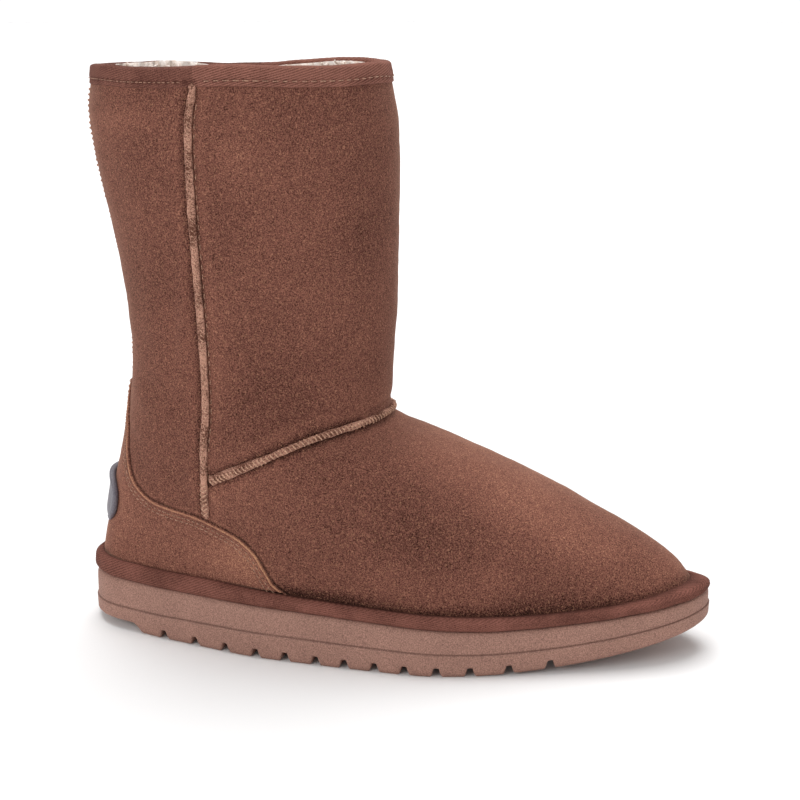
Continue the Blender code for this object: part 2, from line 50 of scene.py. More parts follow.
# Sizes in metres, or as shares of the sole's length or height. The collar tape, the tab, the
# notches and the counter's edge were set again by the photograph after the solids had been built.
SOLE_LENGTH = 0.290
BALL_WIDTH = 0.104
HEEL_WIDTH = 0.074
SHAFT_WIDTH = 0.100
INSTEP_HEIGHT = 0.104
COLLAR_HEIGHT = 0.261
HEEL_THICKNESS = 0.0244
BALL_THICKNESS = 0.0206
TOE_THICKNESS = 0.0135
TOE_SPRING = 0.0155
TOE_SWING = 0.010
GAP = 0.0003
UPPER_WALL = 0.003
UPPER_INSET = 0.0045
INSOLE_CLEARANCE = 0.0006
INSOLE_THICKNESS = 0.006
WELT_HEIGHT = 0.0086
WELT_TOE_HEIGHT = 0.0062
COUNTER_THICKNESS = 0.0011
COUNTER_TOP = 0.117
SEAM_HEIGHT = 0.0015
SEAM_WIDTH = 0.0042
BACK_SEAM_WIDTH = 0.0050
BACK_SEAM_LEAN = 0.06
BACK_SEAM_LEANS_FROM = 0.15
BACK_SEAM_LEANS_OVER = 0.08
VAMP_SEAM_HEIGHT = 0.0018
VAMP_SEAM_WIDTH = 0.0052
COLLAR_TAPE_HEIGHT = 0.0076
COLLAR_TAPE_THICKNESS = 0.0011
TAB_HEIGHT = 0.0255
TAB_WIDTH = 0.034
TAB_MIDDLE_HEIGHT = 0.0594
TAB_ROUNDNESS = 0.75
NOTCH_DEPTH = 0.0040
NOTCH_REACH = 0.024
NOTCH_SLANT = 0.35
TREAD_SPINE = 0.006
HEEL_BEVEL = 0.027
HEEL_BEVEL_RISE = 0.0042
PARTING_LINE = 0.505
PARTING_LINE_REACH = 0.012
PARTING_LINE_DIP = 0.05
SOLE_TOP_ROUND = 0.0014
SOLE_BOTTOM_ROUND = 0.0012
WIDENS_FROM = 0.16
WIDENS_TO = 0.62
SPRING_FROM = 0.62
SWING_ABOUT = 0.30

# Outline of the sole: fullness of each edge as shares of the local width
Outline = namedtuple("Outline", "along outer inner")
OUTLINE = [
    Outline(0.00, 0.84, 0.84),
    Outline(0.08, 0.70, 0.70),
    Outline(0.16, 0.68, 0.69),
    Outline(0.30, 0.66, 0.45),
    Outline(0.40, 0.60, 0.37),
    Outline(0.50, 0.565, 0.365),
    Outline(0.60, 0.56, 0.425),
    Outline(0.68, 0.54, 0.475),
    Outline(0.78, 0.505, 0.515),
    Outline(0.88, 0.49, 0.50),
    Outline(1.00, 0.50, 0.45),
]

Thickness = namedtuple("Thickness", "along metres")
THICKNESSES = [
    Thickness(-0.10, HEEL_THICKNESS),
    Thickness(0.15, HEEL_THICKNESS),
    Thickness(0.30, HEEL_THICKNESS),
    Thickness(0.65, BALL_THICKNESS),
    Thickness(0.88, (BALL_THICKNESS + TOE_THICKNESS) / 2.0),
    Thickness(1.00, TOE_THICKNESS),
]

# Upper: a row per ring from the sole to the collar. Heights count 0 on the sole, 1 at the instep
# and 2 at the collar, and half widths are shares of the heel, ball and shaft widths.
Ring = namedtuple("Ring", "back back_up front front_up rear fore foot shaft")
RINGS = [
    Ring(0.0155, 0.000, 0.980, 0.000, 0.62, 0.500, 1.00, 0.00),
    Ring(0.0172, 0.108, 0.966, 0.078, 0.62, 0.500, 0.90, 0.00),
    Ring(0.0225, 0.218, 0.941, 0.193, 0.62, 0.515, 0.76, 0.00),
    Ring(0.0305, 0.344, 0.905, 0.310, 0.62, 0.519, 0.54, 0.05),
    Ring(0.0372, 0.470, 0.849, 0.432, 0.61, 0.514, 0.35, 0.12),
    Ring(0.0450, 0.596, 0.776, 0.572, 0.60, 0.505, 0.22, 0.20),
    Ring(0.0544, 0.723, 0.686, 0.714, 0.57, 0.495, 0.12, 0.32),
    Ring(0.0622, 0.849, 0.599, 0.836, 0.52, 0.480, 0.05, 0.50),
    Ring(0.0680, 0.975, 0.521, 0.932, 0.47, 0.466, 0.00, 0.75),
    Ring(0.0728, 1.051, 0.4915, 1.019, 0.43, 0.450, 0.00, 1.00),
    Ring(0.0762, 1.127, 0.4945, 1.108, 0.43, 0.435, 0.00, 1.00),
    Ring(0.0766, 1.229, 0.4985, 1.223, 0.435, 0.435, 0.00, 1.00),
    Ring(0.0680, 1.389, 0.5028, 1.389, 0.455, 0.455, 0.00, 1.00),
    Ring(0.0536, 1.548, 0.5045, 1.548, 0.470, 0.470, 0.00, 1.00),
    Ring(0.0362, 1.707, 0.5059, 1.707, 0.485, 0.485, 0.00, 1.00),
    Ring(0.0252, 1.866, 0.5024, 1.866, 0.495, 0.495, 0.00, 1.00),
    Ring(0.0345, 2.000, 0.4870, 2.000, 0.497, 0.497, 0.00, 1.00),
]
COLLAR_RING = float(len(RINGS) - 1)
WELT_RING = 1
RINGS[WELT_RING] = RINGS[WELT_RING]._replace(
    back_up=WELT_HEIGHT / (INSTEP_HEIGHT - HEEL_THICKNESS),
    front_up=WELT_TOE_HEIGHT / (INSTEP_HEIGHT - HEEL_THICKNESS),
)

# Lines of the seams and of the counter's edge, seen from the side
Point = namedtuple("Point", "along up")
SIDE_SEAM = [
    Point(0.2440, 1.950),
    Point(0.2340, 1.840),
    Point(0.2330, 1.600),
    Point(0.2365, 1.360),
    Point(0.2385, 1.180),
    Point(0.2400, 1.040),
    Point(0.2360, 0.860),
    Point(0.2325, 0.520),
]
VAMP_SEAM = [
    Point(0.2400, 0.694),
    Point(0.2500, 0.711),
    Point(0.2900, 0.783),
    Point(0.3400, 0.868),
    Point(0.3900, 0.943),
    Point(0.4400, 0.992),
    Point(0.4900, 1.013),
    Point(0.5200, 1.024),
]
COUNTER_EDGE = [
    Point(0.0770, 1.090),
    Point(0.0800, 1.020),
    Point(0.0820, 0.900),
    Point(0.0850, 0.750),
    Point(0.0960, 0.622),
    Point(0.1250, 0.530),
    Point(0.1650, 0.494),
    Point(0.2150, 0.470),
    Point(0.2550, 0.427),
    Point(0.2900, 0.374),
    Point(0.3150, 0.298),
    Point(0.3320, 0.200),
    Point(0.3460, 0.120),
    Point(0.3700, 0.060),
]

# Where the tread is notched, as shares of the sole's length, and the notch's depth as a share by
# the distance in millimetres from its middle
NOTCHES = [
    0.151, 0.208, 0.263, 0.316, 0.365, 0.415, 0.461,
    0.509, 0.556, 0.605, 0.655, 0.712, 0.772,
]
NOTCH_ACROSS = [0.0, 1.1, 1.3, 1.7, 2.2, 2.8]
NOTCH_SHARE = [1.0, 0.98, 0.80, 0.38, 0.10, 0.0]

# How far the soft collar has settled below its cut height, by the angle round it: 0 is the back,
# 90 the outer side, 180 the front and 270 the inner side
Dip = namedtuple("Dip", "degrees millimetres")
RIM_DIPS = [
    Dip(-15, 1.9),
    Dip(0, 2.0),
    Dip(30, 1.2),
    Dip(60, 1.7),
    Dip(80, 1.4),
    Dip(95, 0.4),
    Dip(120, 0.9),
    Dip(135, 1.1),
    Dip(150, 0.8),
    Dip(165, 0.1),
    Dip(180, 0.6),
    Dip(210, 0.0),
    Dip(240, 0.0),
    Dip(255, 1.3),
    Dip(270, 2.6),
    Dip(285, 3.0),
    Dip(300, 2.7),
    Dip(315, 1.7),
    Dip(330, 2.0),
    Dip(345, 1.9),
    Dip(360, 2.0),
    Dip(375, 1.2),
]
RIM_SOFTENS = 0.035
SHAFT_MIDDLE = (0.078, 0.0, 0.24)

# Soft troughs (less than 0) and ridges of the upper. side is -1 on the outer side only, 1 on the
# inner side only and 0 on both. along and up place the middle, long and tall are its reach in
# millimetres, turn tips its length up from level in degrees, and amount is in millimetres.
Patch = namedtuple("Patch", "side along up long tall turn amount")
CREASES = [
    Patch(0, 0.150, 1.10, 26, 5, -18, -0.55),
    Patch(0, 0.165, 1.02, 24, 5, -14, 0.45),
    Patch(-1, 0.205, 1.32, 26, 3.2, 84, 0.55),
    Patch(-1, 0.190, 1.28, 24, 3.0, 82, -0.45),
    Patch(-1, 0.130, 0.86, 18, 4.5, -35, 0.40),
    Patch(-1, 0.150, 0.78, 20, 5, -28, -0.40),
    Patch(0, 0.400, 1.16, 30, 8, 8, -0.45),
    Patch(0, 0.420, 1.30, 34, 9, 4, 0.40),
    Patch(-1, 0.330, 1.55, 40, 14, 62, -0.50),
    Patch(-1, 0.430, 1.62, 34, 10, 80, 0.45),
    Patch(-1, 0.100, 1.62, 40, 9, 88, -0.45),
    Patch(1, 0.300, 1.45, 38, 13, 70, -0.55),
    Patch(1, 0.420, 1.70, 30, 10, 84, 0.45),
    Patch(1, 0.120, 1.50, 36, 9, 86, 0.40),
    Patch(1, 0.170, 0.90, 22, 5, -20, -0.50),
    Patch(0, 0.470, 0.84, 26, 5, 34, -0.50),
    Patch(0, 0.545, 0.70, 26, 7, 30, -0.35),
    Patch(0, 0.620, 0.50, 30, 10, 24, 0.45),
    Patch(-1, 0.420, 0.34, 34, 10, 6, 0.40),
    Patch(1, 0.420, 0.30, 30, 9, 8, -0.45),
    Patch(0, 0.820, 0.18, 26, 8, 12, 0.35),
    Patch(1, 0.930, 0.14, 24, 9, 0, 1.60),
]

# Lighter (more than 0) and darker patches of the nap: partly its own uneven colour, and partly
# painted highlight along the vamp's slope and painted shade low on the vamp's front and in the
# crease above the welt
TONES = [
    Patch(0, 0.400, 1.50, 30, 50, 0, 0.10),
    Patch(0, 0.300, 1.78, 14, 16, 0, 0.20),
    Patch(0, 0.470, 1.55, 8, 22, 0, -0.22),
    Patch(0, 0.120, 1.85, 22, 5, 0, 0.22),
    Patch(0, 0.270, 1.20, 8, 26, 0, 0.22),
    Patch(0, 0.340, 1.08, 22, 14, 10, -0.24),
    Patch(0, 0.290, 0.62, 18, 9, 20, 0.20),
    Patch(0, 0.610, 0.80, 50, 9, -34, 0.35),
    Patch(0, 0.780, 0.46, 34, 9, -36, 0.35),
    Patch(0, 0.560, 0.48, 26, 18, 10, -0.20),
    Patch(0, 0.620, 0.20, 34, 9, 0, 0.12),
    Patch(0, 0.930, 0.14, 20, 14, 0, 0.25),
    Patch(0, 0.370, 0.095, 38, 2.6, 0, -0.50),
    Patch(0, 0.750, 0.08, 30, 4, 4, -0.30),
]

# Lighter and darker patches of the counter. Then, at distances in millimetres from its edge, how
# far it rises in millimetres and how much paler or darker it is painted: painted highlight over the
# rim's crown, and painted shade at its very edge and in its stitched grooves.
COUNTER_TONES = [
    Patch(0, 0.290, 0.24, 20, 12, 0, 0.40),
    Patch(0, 0.160, 0.34, 30, 10, 0, 0.06),
    Patch(0, 0.060, 0.30, 12, 24, 0, 0.16),
]
RIM_INSIDE = [0.0, 0.15, 0.45, 0.85, 1.3, 2.0, 2.7, 3.4, 4.2, 4.7, 6.5]
RIM_RISE = [0.10, 0.70, 1.20, 1.12, 0.80, 0.92, 0.78, 0.96, 0.96, 0.82, 1.1]
RIM_PAINTED_LIGHT_AND_SHADE = [-0.7, 0.3, 1.00, 0.60, -0.25, 0.00, -0.12, 0.05, 0.03, -0.06, 0.0]

# Spacing of the twill's ribs along and across the tapes, in millimetres
COLLAR_RIBS = (3.4, 1.0)
WELT_RIBS = (2.6, 1.3)

# How the suede lies along its seams, by the distance from them: the middle and reach of each soft
# ridge or trough (less than 0) and its height, all in millimetres
Fade = namedtuple("Fade", "seam middle reach amount")
SEAM_PULLS = [
    Fade("side", 0.0, 3.2, -0.55),
    Fade("side", 8.0, 4.0, 0.30),
    Fade("vamp", 0.0, 3.6, -0.70),
    Fade("vamp", 9.0, 4.5, 0.45),
    Fade("back", 0.0, 3.4, -0.45),
]

# Where the nap is rubbed paler along the seams, and painted shade makes it darker in their creases
SEAM_TONES = [
    Fade("vamp", 6.0, 3.0, 0.12),
    Fade("side", 5.0, 3.0, 0.14),
    Fade("counter", 1.6, 0.5, 0.35),
    Fade("vamp", 0.0, 2.9, -0.8),
    Fade("back", 0.0, 2.6, -0.4),
    Fade("counter", 0.0, 0.9, -0.6),
]
# Painted shade in the groove beside each side seam: how dark, and how far it reaches behind and
# ahead of the seam in millimetres
SIDE_SEAM_PAINTED_SHADE = -0.7
SIDE_SHADE_BEHIND = 3.6
SIDE_SHADE_AHEAD = 2.2
# Painted shade in the crease along the welt's top
WELT_TOP_PAINTED_SHADE = -0.5

# The sole's side from the ground to the top: how far it stands proud in millimetres, by the share
# of its height, and the shares at which it is cut into rings
SIDE_SHARES = [0.0, 0.05, 0.12, 0.488, 0.498, 0.512, 0.522, 0.90, 0.97, 1.0]
SIDE_PROUD = [-1.2, -0.25, 0.36, 0.60, 0.30, -0.22, 0.05, 0.0, -0.56, -1.4]
SIDE_RINGS = [
    0.02, 0.05, 0.09, 0.14, 0.22, 0.30, 0.38, 0.45, 0.488, 0.498, 0.512, 0.522, 0.54,
    0.58, 0.65, 0.72, 0.79, 0.86, 0.91, 0.95, 0.975, 0.992, 1.0,
]

# The tab from its edge to its middle: millimetres in from the edge and up from the counter
Step = namedtuple("Step", "inset rise")
TAB_STEPS = [
    Step(13.4, 0.0),
    Step(11.0, 0.0),
    Step(7.0, 0.0),
    Step(3.0, 0.0),
    Step(0.3, 0.0),
    Step(0.0, 0.5),
    Step(0.0, 1.9),
    Step(0.35, 2.3),
    Step(0.9, 2.4),
    Step(1.6, 2.35),
    Step(2.1, 2.0),
    Step(2.5, 1.72),
    Step(3.4, 1.70),
    Step(5.0, 1.72),
    Step(7.5, 1.76),
    Step(10.0, 1.78),
    Step(12.0, 1.80),
    Step(13.4, 1.80),
]

# Rows of stitches. Whips cross a seam's ridge at a slant in degrees, dashes run along their path.
# pitch, lift over the ridge or the skin, length, radius and sideways shift are in millimetres.
Whip = namedtuple("Whip", "pitch lift slant length radius shift")
SIDE_WHIP = Whip(2.3, -0.15, -40.0, 1.9, 0.2, 0.3)
LOW_WHIP = Whip(2.3, 0.0, 38.0, 2.9, 0.3, 0.7)
LOW_CROSS_WHIP = Whip(2.3, -0.3, -38.0, 1.7, 0.24, -0.9)
VAMP_WHIP = Whip(2.0, -0.2, 24.0, 2.9, 0.36, 0.3)
BACK_WHIP = Whip(2.4, 0.3, 28.0, 3.4, 0.34, 0.0)
Dash = namedtuple("Dash", "pitch share lift radius shift")
SIDE_DASH = Dash(4.3, 0.5, -0.1, 0.2, 2.7)
COUNTER_DASH = Dash(2.7, 0.62, 0.18, 0.24, 0.0)
COLLAR_DASH = Dash(4.1, 0.55, 0.0, 0.24, 0.0)
REAR_COLLAR_DASH = Dash(2.3, 0.6, -0.25, 0.16, 0.0)
COLLAR_DASH_UP = 2.5
COUNTER_DASHES_IN = (2.7, 4.6)

# Broad lights: name, the way the light goes, its spread in degrees and its strength
OVERHEAD_LIGHTS = (
    ("overhead_light", (0.08, -0.24, -0.97), 45.0, 2.50),
    ("key_light", (0.45, 0.75, -0.48), 30.0, 0.85),
)

# The stage, in metres, and the camera that was fitted to the photograph
FLOOR_SIZE = 60.0
WALL_RADIUS = 29.0
WALL_HEIGHT = 6.0
WALL_MIDDLE = 2.9
FLOOR_ALBEDO = 0.85
WALL_GLOW = 1.05
SKY_STRENGTH = 0.58
CAMERA_PLACE = (0.14922, -0.68180, 0.28555)
CAMERA_DOWN = 0.2448
CAMERA_TURN = 0.21081
LENS = 71.05
SENSOR_WIDTH = 36.0

# Mesh density: columns round each piece, those of the upper behind and in front of its side seams,
# and the spacing of the sole's in millimetres
REAR_COLUMNS = 60
FRONT_COLUMNS = 108
LINING_COLUMNS = 220
INSOLE_COLUMNS = 200
COLLAR_COLUMNS = 1500
WELT_COLUMNS = 2100
RIDGE_SIDES = 22
TAB_COLUMNS = 132
WOOL_COLUMNS = 120
SOLE_SPACING = 1.05
NOTCH_SPACING = 0.22
NOTCH_BESIDE = 3.2

# The start of all random draws
SEED = 7


def smooth_step(value):
    value = np.clip(value, 0.0, 1.0)
    return value * value * (3.0 - 2.0 * value)


def bell(distance, reach, middle=0.0):
    """1 at the middle distance, fading to nothing beyond the reach."""
    return np.exp(-(((distance - middle) / reach) ** 2))


def full_turn(count):
    """Even angles of one full turn, without the repeated end."""
    return np.linspace(0.0, 2.0 * math.pi, count, endpoint=False)


def smooth_curve(stations, rows):
    """A function of the station that runs smoothly through rows of one value or several."""
    stations = np.asarray(stations, float)
    rows = np.asarray(rows, float)
    slopes = np.gradient(rows, stations, axis=0)

    def value(at):
        at = np.asarray(at, float)
        index = np.clip(np.searchsorted(stations, at) - 1, 0, len(stations) - 2)
        span = stations[index + 1] - stations[index]
        t = (at - stations[index]) / span
        if rows.ndim > 1:
            span, t = span[..., None], t[..., None]
        start = (1 + 2 * t) * (1 - t) ** 2 * rows[index] + t * (1 - t) ** 2 * span * slopes[index]
        level, slope = rows[index + 1], slopes[index + 1]
        return start + t**2 * (3 - 2 * t) * level - t**2 * (1 - t) * span * slope

    return value


def column(rows, name):
    return [getattr(row, name) for row in rows]


def widening(along):
    """0 at the heel, 1 at the ball."""
    return smooth_step((along - WIDENS_FROM) / (WIDENS_TO - WIDENS_FROM))


def local_width(along):
    return HEEL_WIDTH + (BALL_WIDTH - HEEL_WIDTH) * widening(along)


outer_share = smooth_curve(column(OUTLINE, "along"), column(OUTLINE, "outer"))
inner_share = smooth_curve(column(OUTLINE, "along"), column(OUTLINE, "inner"))
sole_thickness = smooth_curve(column(THICKNESSES, "along"), column(THICKNESSES, "metres"))
ring_row = smooth_curve(range(len(RINGS)), RINGS)
rim_dip = smooth_curve(column(RIM_DIPS, "degrees"), column(RIM_DIPS, "millimetres"))


def fullness(along, inner):
    """Half width of the sole's outline before its ends round it off."""
    return np.where(inner, inner_share(along), outer_share(along)) * local_width(along)


def middle_line(x):
    """How far the foot's middle swings inwards at x."""
    return TOE_SWING * (x / SOLE_LENGTH - SWING_ABOUT)


def sole_edge(angle):
    along = (1.0 - np.cos(angle)) / 2.0
    side = np.where(np.sin(angle) < 0.0, 1.0, -1.0)
    x = along * SOLE_LENGTH
    y = middle_line(x) + side * np.abs(np.sin(angle)) * fullness(along, side > 0.0)
    return np.stack([x, y], -1)


def sole_outwards(angle):
    """Unit vector square to the sole's outline, from above."""
    ahead = sole_edge(angle + 0.004) - sole_edge(angle - 0.004)
    across = np.stack([ahead[..., 1], -ahead[..., 0]], -1)
    return across / np.linalg.norm(across, axis=-1, keepdims=True)


def ground_clearance(x):
    share = (x / SOLE_LENGTH - SPRING_FROM) / (1.0 - SPRING_FROM)
    return TOE_SPRING * np.clip(share, 0.0, 1.0) ** 2


def sole_top(x):
    return ground_clearance(x) + sole_thickness(x / SOLE_LENGTH)


def height(up):
    """Metres above the ground for 0 on the sole, 1 at the instep, 2 at the collar."""
    seat = HEEL_THICKNESS + GAP
    instep = (INSTEP_HEIGHT - seat) * np.minimum(up, 1.0)
    return seat + instep + (COLLAR_HEIGHT - INSTEP_HEIGHT) * np.maximum(np.asarray(up) - 1.0, 0.0)


def upper_surface(angle, ring):
    """Points on the outside of the upper. ring counts the rows of RINGS and may lie between two."""
    angle, ring = np.broadcast_arrays(np.asarray(angle, float), np.asarray(ring, float))
    row = Ring(*np.moveaxis(ring_row(ring), -1, 0))
    along = (1.0 - np.cos(angle)) / 2.0
    side = np.where(np.sin(angle) < 0.0, 1.0, -1.0)
    x = SOLE_LENGTH * (row.back + (row.front - row.back) * along)
    rear = row.rear * (HEEL_WIDTH + (SHAFT_WIDTH - HEEL_WIDTH) * row.shaft)
    fore = row.fore * (BALL_WIDTH + (SHAFT_WIDTH - BALL_WIDTH) * row.shaft)
    own = rear + (fore - rear) * widening(along)
    inset = 1.0 - 2.0 * UPPER_INSET / local_width(along)
    half = row.foot * fullness(along, side > 0.0) * inset + (1.0 - row.foot) * own
    z = height(row.back_up) + (height(row.front_up) - height(row.back_up)) * along
    z = z + row.foot * (sole_top(x) - HEEL_THICKNESS)
    return np.stack([x, middle_line(x) + side * np.abs(np.sin(angle)) * half, z], -1)


def upper_normal(angle, ring):
    angle, ring = np.broadcast_arrays(np.asarray(angle, float), np.asarray(ring, float))
    around = upper_surface(angle + 0.01, ring) - upper_surface(angle - 0.01, ring)
    low, high = np.maximum(ring - 0.1, 0.0), np.minimum(ring + 0.1, COLLAR_RING)
    normal = np.cross(around, upper_surface(angle, high) - upper_surface(angle, low))
    return normal / np.linalg.norm(normal, axis=-1, keepdims=True)


def patch_sum(patches, points):
    """What the soft patches of a table add at each point."""
    x, y, z = np.moveaxis(points, -1, 0)
    total = np.zeros(x.shape)
    for patch in patches:
        turn = math.radians(patch.turn)
        ahead, above = x - SOLE_LENGTH * patch.along, z - height(patch.up)
        lengthwise = (ahead * math.cos(turn) + above * math.sin(turn)) / (patch.long * MM)
        crosswise = (above * math.cos(turn) - ahead * math.sin(turn)) / (patch.tall * MM)
        amount = patch.amount * np.exp(-(lengthwise**2) - crosswise**2)
        if patch.side:
            amount = amount * smooth_step(0.5 + patch.side * (y - middle_line(x)) / 0.030)
        total += amount
    return total


def skin(angle, ring, outwards=0.0):
    """Points of the creased and settled upper, or as far outwards of it as asked."""
    angle, ring = np.broadcast_arrays(np.asarray(angle, float), np.asarray(ring, float))
    points = upper_surface(angle, ring)
    softens = smooth_step((points[..., 2] - COLLAR_HEIGHT + RIM_SOFTENS) / RIM_SOFTENS)
    lift = patch_sum(CREASES, points) * MM + outwards
    points = points + upper_normal(angle, ring) * lift[..., None]
    points[..., 2] -= rim_dip(np.degrees(angle) % 360.0) * MM * softens
    return points


def halved(low, high, too_low):
    """The value between low and high at which too_low turns false, for each entry."""
    for _ in range(28):
        middle = (low + high) / 2.0
        below = too_low(middle)
        low, high = np.where(below, middle, low), np.where(below, high, middle)
    return (low + high) / 2.0


def ring_at(angle, z):
    """The ring whose surface has the height z at this angle."""
    angle, z = np.broadcast_arrays(np.asarray(angle, float), np.asarray(z, float))
    ends = np.zeros(z.shape), np.full(z.shape, COLLAR_RING)
    return halved(*ends, lambda ring: upper_surface(angle, ring)[..., 2] < z)


def side_position(x, z):
    """Angle and ring of the outer side's point that has this x and z."""
    ends = np.full(x.shape, 0.001), np.full(x.shape, math.pi - 0.001)
    angle = halved(*ends, lambda a: upper_surface(a, ring_at(a, z))[..., 0] < x)
    return angle, ring_at(angle, z)


def rear_position(y, z):
    """Angle and ring of the heel's point that has this y and z."""
    ends = np.full(y.shape, -1.3), np.full(y.shape, 1.3)
    angle = halved(*ends, lambda a: upper_surface(a, ring_at(a, z))[..., 1] > y)
    return angle, ring_at(angle, z)


def line_points(points, steps):
    """A smooth line through the points of a seam, in metres seen from the side."""
    stations = np.linspace(0.0, len(points) - 1.0, steps + 1)
    along, up = smooth_curve(range(len(points)), points)(stations).T
    return SOLE_LENGTH * along, height(up)


def lengths(points):
    """Distance along a line of points to each of them."""
    return np.concatenate([[0.0], np.cumsum(np.linalg.norm(np.diff(points, axis=0), axis=1))])


def even_path(angle, ring, spacing):
    """The same path over the skin, with its points evenly spaced."""
    length = lengths(skin(angle, ring))
    at = np.linspace(0.0, length[-1], max(int(round(length[-1] / spacing)), 2) + 1)
    return np.interp(at, length, angle), np.interp(at, length, ring)


def side_seam_angle(ring):
    """Angle at which the side seam crosses each ring, the same on both sides of the boot."""
    x, z = line_points(SIDE_SEAM, 60)

    def behind(angle):
        point = upper_surface(angle, ring)
        return point[..., 0] < np.interp(point[..., 2], z[::-1], x[::-1])

    return halved(np.full(ring.shape, 0.05), np.full(ring.shape, 3.0), behind)


def from_back(angle):
    """The angle from the back, whichever side it is on."""
    return np.minimum(angle, 2.0 * math.pi - angle)


def vamp_seam_ring(angle):
    """Ring at which the vamp seam crosses each angle."""
    x, z = line_points(VAMP_SEAM, 60)
    mirrored = from_back(angle)

    def below(ring):
        point = upper_surface(mirrored, ring)
        return point[..., 2] < np.interp(point[..., 0], x, z)

    return halved(np.full(angle.shape, 3.0), np.full(angle.shape, 11.0), below)


def side_seam_path(spacing, low_up, high_up):
    """The outer side seam from below upwards."""
    middle = np.full(2, 1.0)
    low, high = ring_at(middle, height(np.array([low_up, high_up])))
    ring = np.linspace(low, high, 400)
    return even_path(side_seam_angle(ring), ring, spacing)


def vamp_seam_path(spacing):
    """The vamp seam from the outer side seam over the instep to the inner one."""
    angle = np.linspace(0.6, 2.0 * math.pi - 0.6, 1200)
    ring = vamp_seam_ring(angle)
    ahead = upper_surface(angle, ring)[..., 0] > SOLE_LENGTH * VAMP_SEAM[0].along + 0.8 * MM
    return even_path(angle[ahead], ring[ahead], spacing)


def back_seam_path(low, high, count):
    """The seam up the back between two heights, which leans to the outer side in the shaft."""
    z = np.linspace(low, high, count)
    angle = BACK_SEAM_LEAN * smooth_step((z - BACK_SEAM_LEANS_FROM) / BACK_SEAM_LEANS_OVER)
    return angle, ring_at(angle, z)


def welt_drop(angle):
    """How far the welt's top lies below its cut height, on the outer side and at the inner toe."""
    turned = np.mod(angle, 2.0 * math.pi)
    outer = smooth_step((turned - 1.0) / 0.4) * smooth_step((2.9 - turned) / 0.6)
    inner = bell(turned, 0.35, math.pi + 0.35)
    return (1.8 * outer + 2.0 * inner) * MM


def counter_edge_path(spacing):
    """The counter's edge on the outer side, from its front tip up to the top of its strip."""
    x, z = line_points(COUNTER_EDGE, 120)
    reach = (z < COUNTER_TOP) & (z > sole_top(x) + WELT_HEIGHT * 0.6)
    angle, ring = side_position(x[reach][::-1], z[reach][::-1])
    return even_path(angle, ring, spacing)


def path_frame(angle, ring, outwards=0.0):
    """Points, outward normals and forward directions along a path over the skin."""
    points = skin(angle, ring, outwards)
    ahead = np.gradient(points, axis=0)
    ahead = ahead / np.linalg.norm(ahead, axis=1, keepdims=True)
    return points, upper_normal(angle, ring), ahead


def beside(angle, ring, shift):
    """The path over the skin that runs beside another one, shifted along ahead x normal."""
    _, normals, ahead = path_frame(angle, ring)
    by_angle = (skin(angle + 0.01, ring) - skin(angle - 0.01, ring)) / 0.02
    by_ring = (skin(angle, ring + 0.02) - skin(angle, ring - 0.02)) / 0.04
    turned = np.linalg.pinv(np.stack([by_angle, by_ring], -1))
    step = np.einsum("nij,nj->ni", turned, np.cross(ahead, normals) * shift)
    return angle + step[:, 0], ring + step[:, 1]


def distance_to(points, line):
    """Least distance from each point to the points of a line."""
    flat = points.reshape(-1, 3)
    best = np.full(len(flat), np.inf)
    for spot in line:
        best = np.minimum(best, ((flat - spot) ** 2).sum(1))
    return np.sqrt(best).reshape(points.shape[:-1])


def waviness(points, longest, seed):
    """Smooth unevenness of about -1 to 1 whose waves are at most this long."""
    draw = np.random.default_rng(seed)
    total = np.zeros(points.shape[:-1])
    for _ in range(14):
        way = draw.normal(size=3)
        way = way / np.linalg.norm(way) * 2.0 * math.pi / (longest * draw.uniform(0.45, 1.0))
        total += np.sin(points @ way + draw.uniform(0.0, 2.0 * math.pi))
    return total / math.sqrt(14.0)


OUTLINE_SIDES = sole_edge(np.linspace(0.0, 2.0 * math.pi, 361))[:-1, 1]
CENTRE = np.array([SOLE_LENGTH / 2.0, (OUTLINE_SIDES.min() + OUTLINE_SIDES.max()) / 2.0, 0.0])


def placed(points):
    return np.asarray(points, float) - CENTRE


def grid_faces(count, size, around, closed):
    """The quads between count sections of size points each, as rows of point numbers."""
    index = np.arange(count * size).reshape(count, size)
    if around:
        index = np.vstack([index, index[:1]])
    if closed:
        index = np.hstack([index, index[:, :1]])
    corners = index[:-1, :-1], index[:-1, 1:], index[1:, 1:], index[1:, :-1]
    return np.stack(corners, -1).reshape(-1, 4)


def loft(name, sections, around=True, closed=True, fields=None, zipped=False):
    """A closed mesh through sections of points, each an array of as many points.

    around joins the last section to the first, and otherwise both ends are capped. closed joins
    each section's last point to its first. fields are named values for the points. zipped merges
    points that meet.
    """
    sections = placed(sections)
    count, size = sections.shape[:2]
    faces = grid_faces(count, size, around, closed)
    points = sections.reshape(-1, 3)
    corners = points[faces]
    volume = np.einsum("ij,ij->i", corners[:, 0], np.cross(corners[:, 1], corners[:, 2])).sum()
    volume += np.einsum("ij,ij->i", corners[:, 0], np.cross(corners[:, 2], corners[:, 3])).sum()
    flip = volume < 0.0
    faces = faces[:, ::-1] if flip else faces
    faces = faces.tolist()
    if not around:
        ends = [list(range(size))[::-1], list(range((count - 1) * size, count * size))]
        faces += [end[::-1] for end in ends] if flip else ends
    mesh = bpy.data.meshes.new(name)
    mesh.from_pydata(points.tolist(), [], faces)
    for label, values in (fields or {}).items():
        field = mesh.attributes.new(label, "FLOAT", "POINT")
        field.data.foreach_set("value", np.asarray(values, np.float32).ravel())
    if zipped:
        work = bmesh.new()
        work.from_mesh(mesh)
        bmesh.ops.remove_doubles(work, verts=work.verts, dist=1e-7)
        work.to_mesh(mesh)
        work.free()
    return mesh


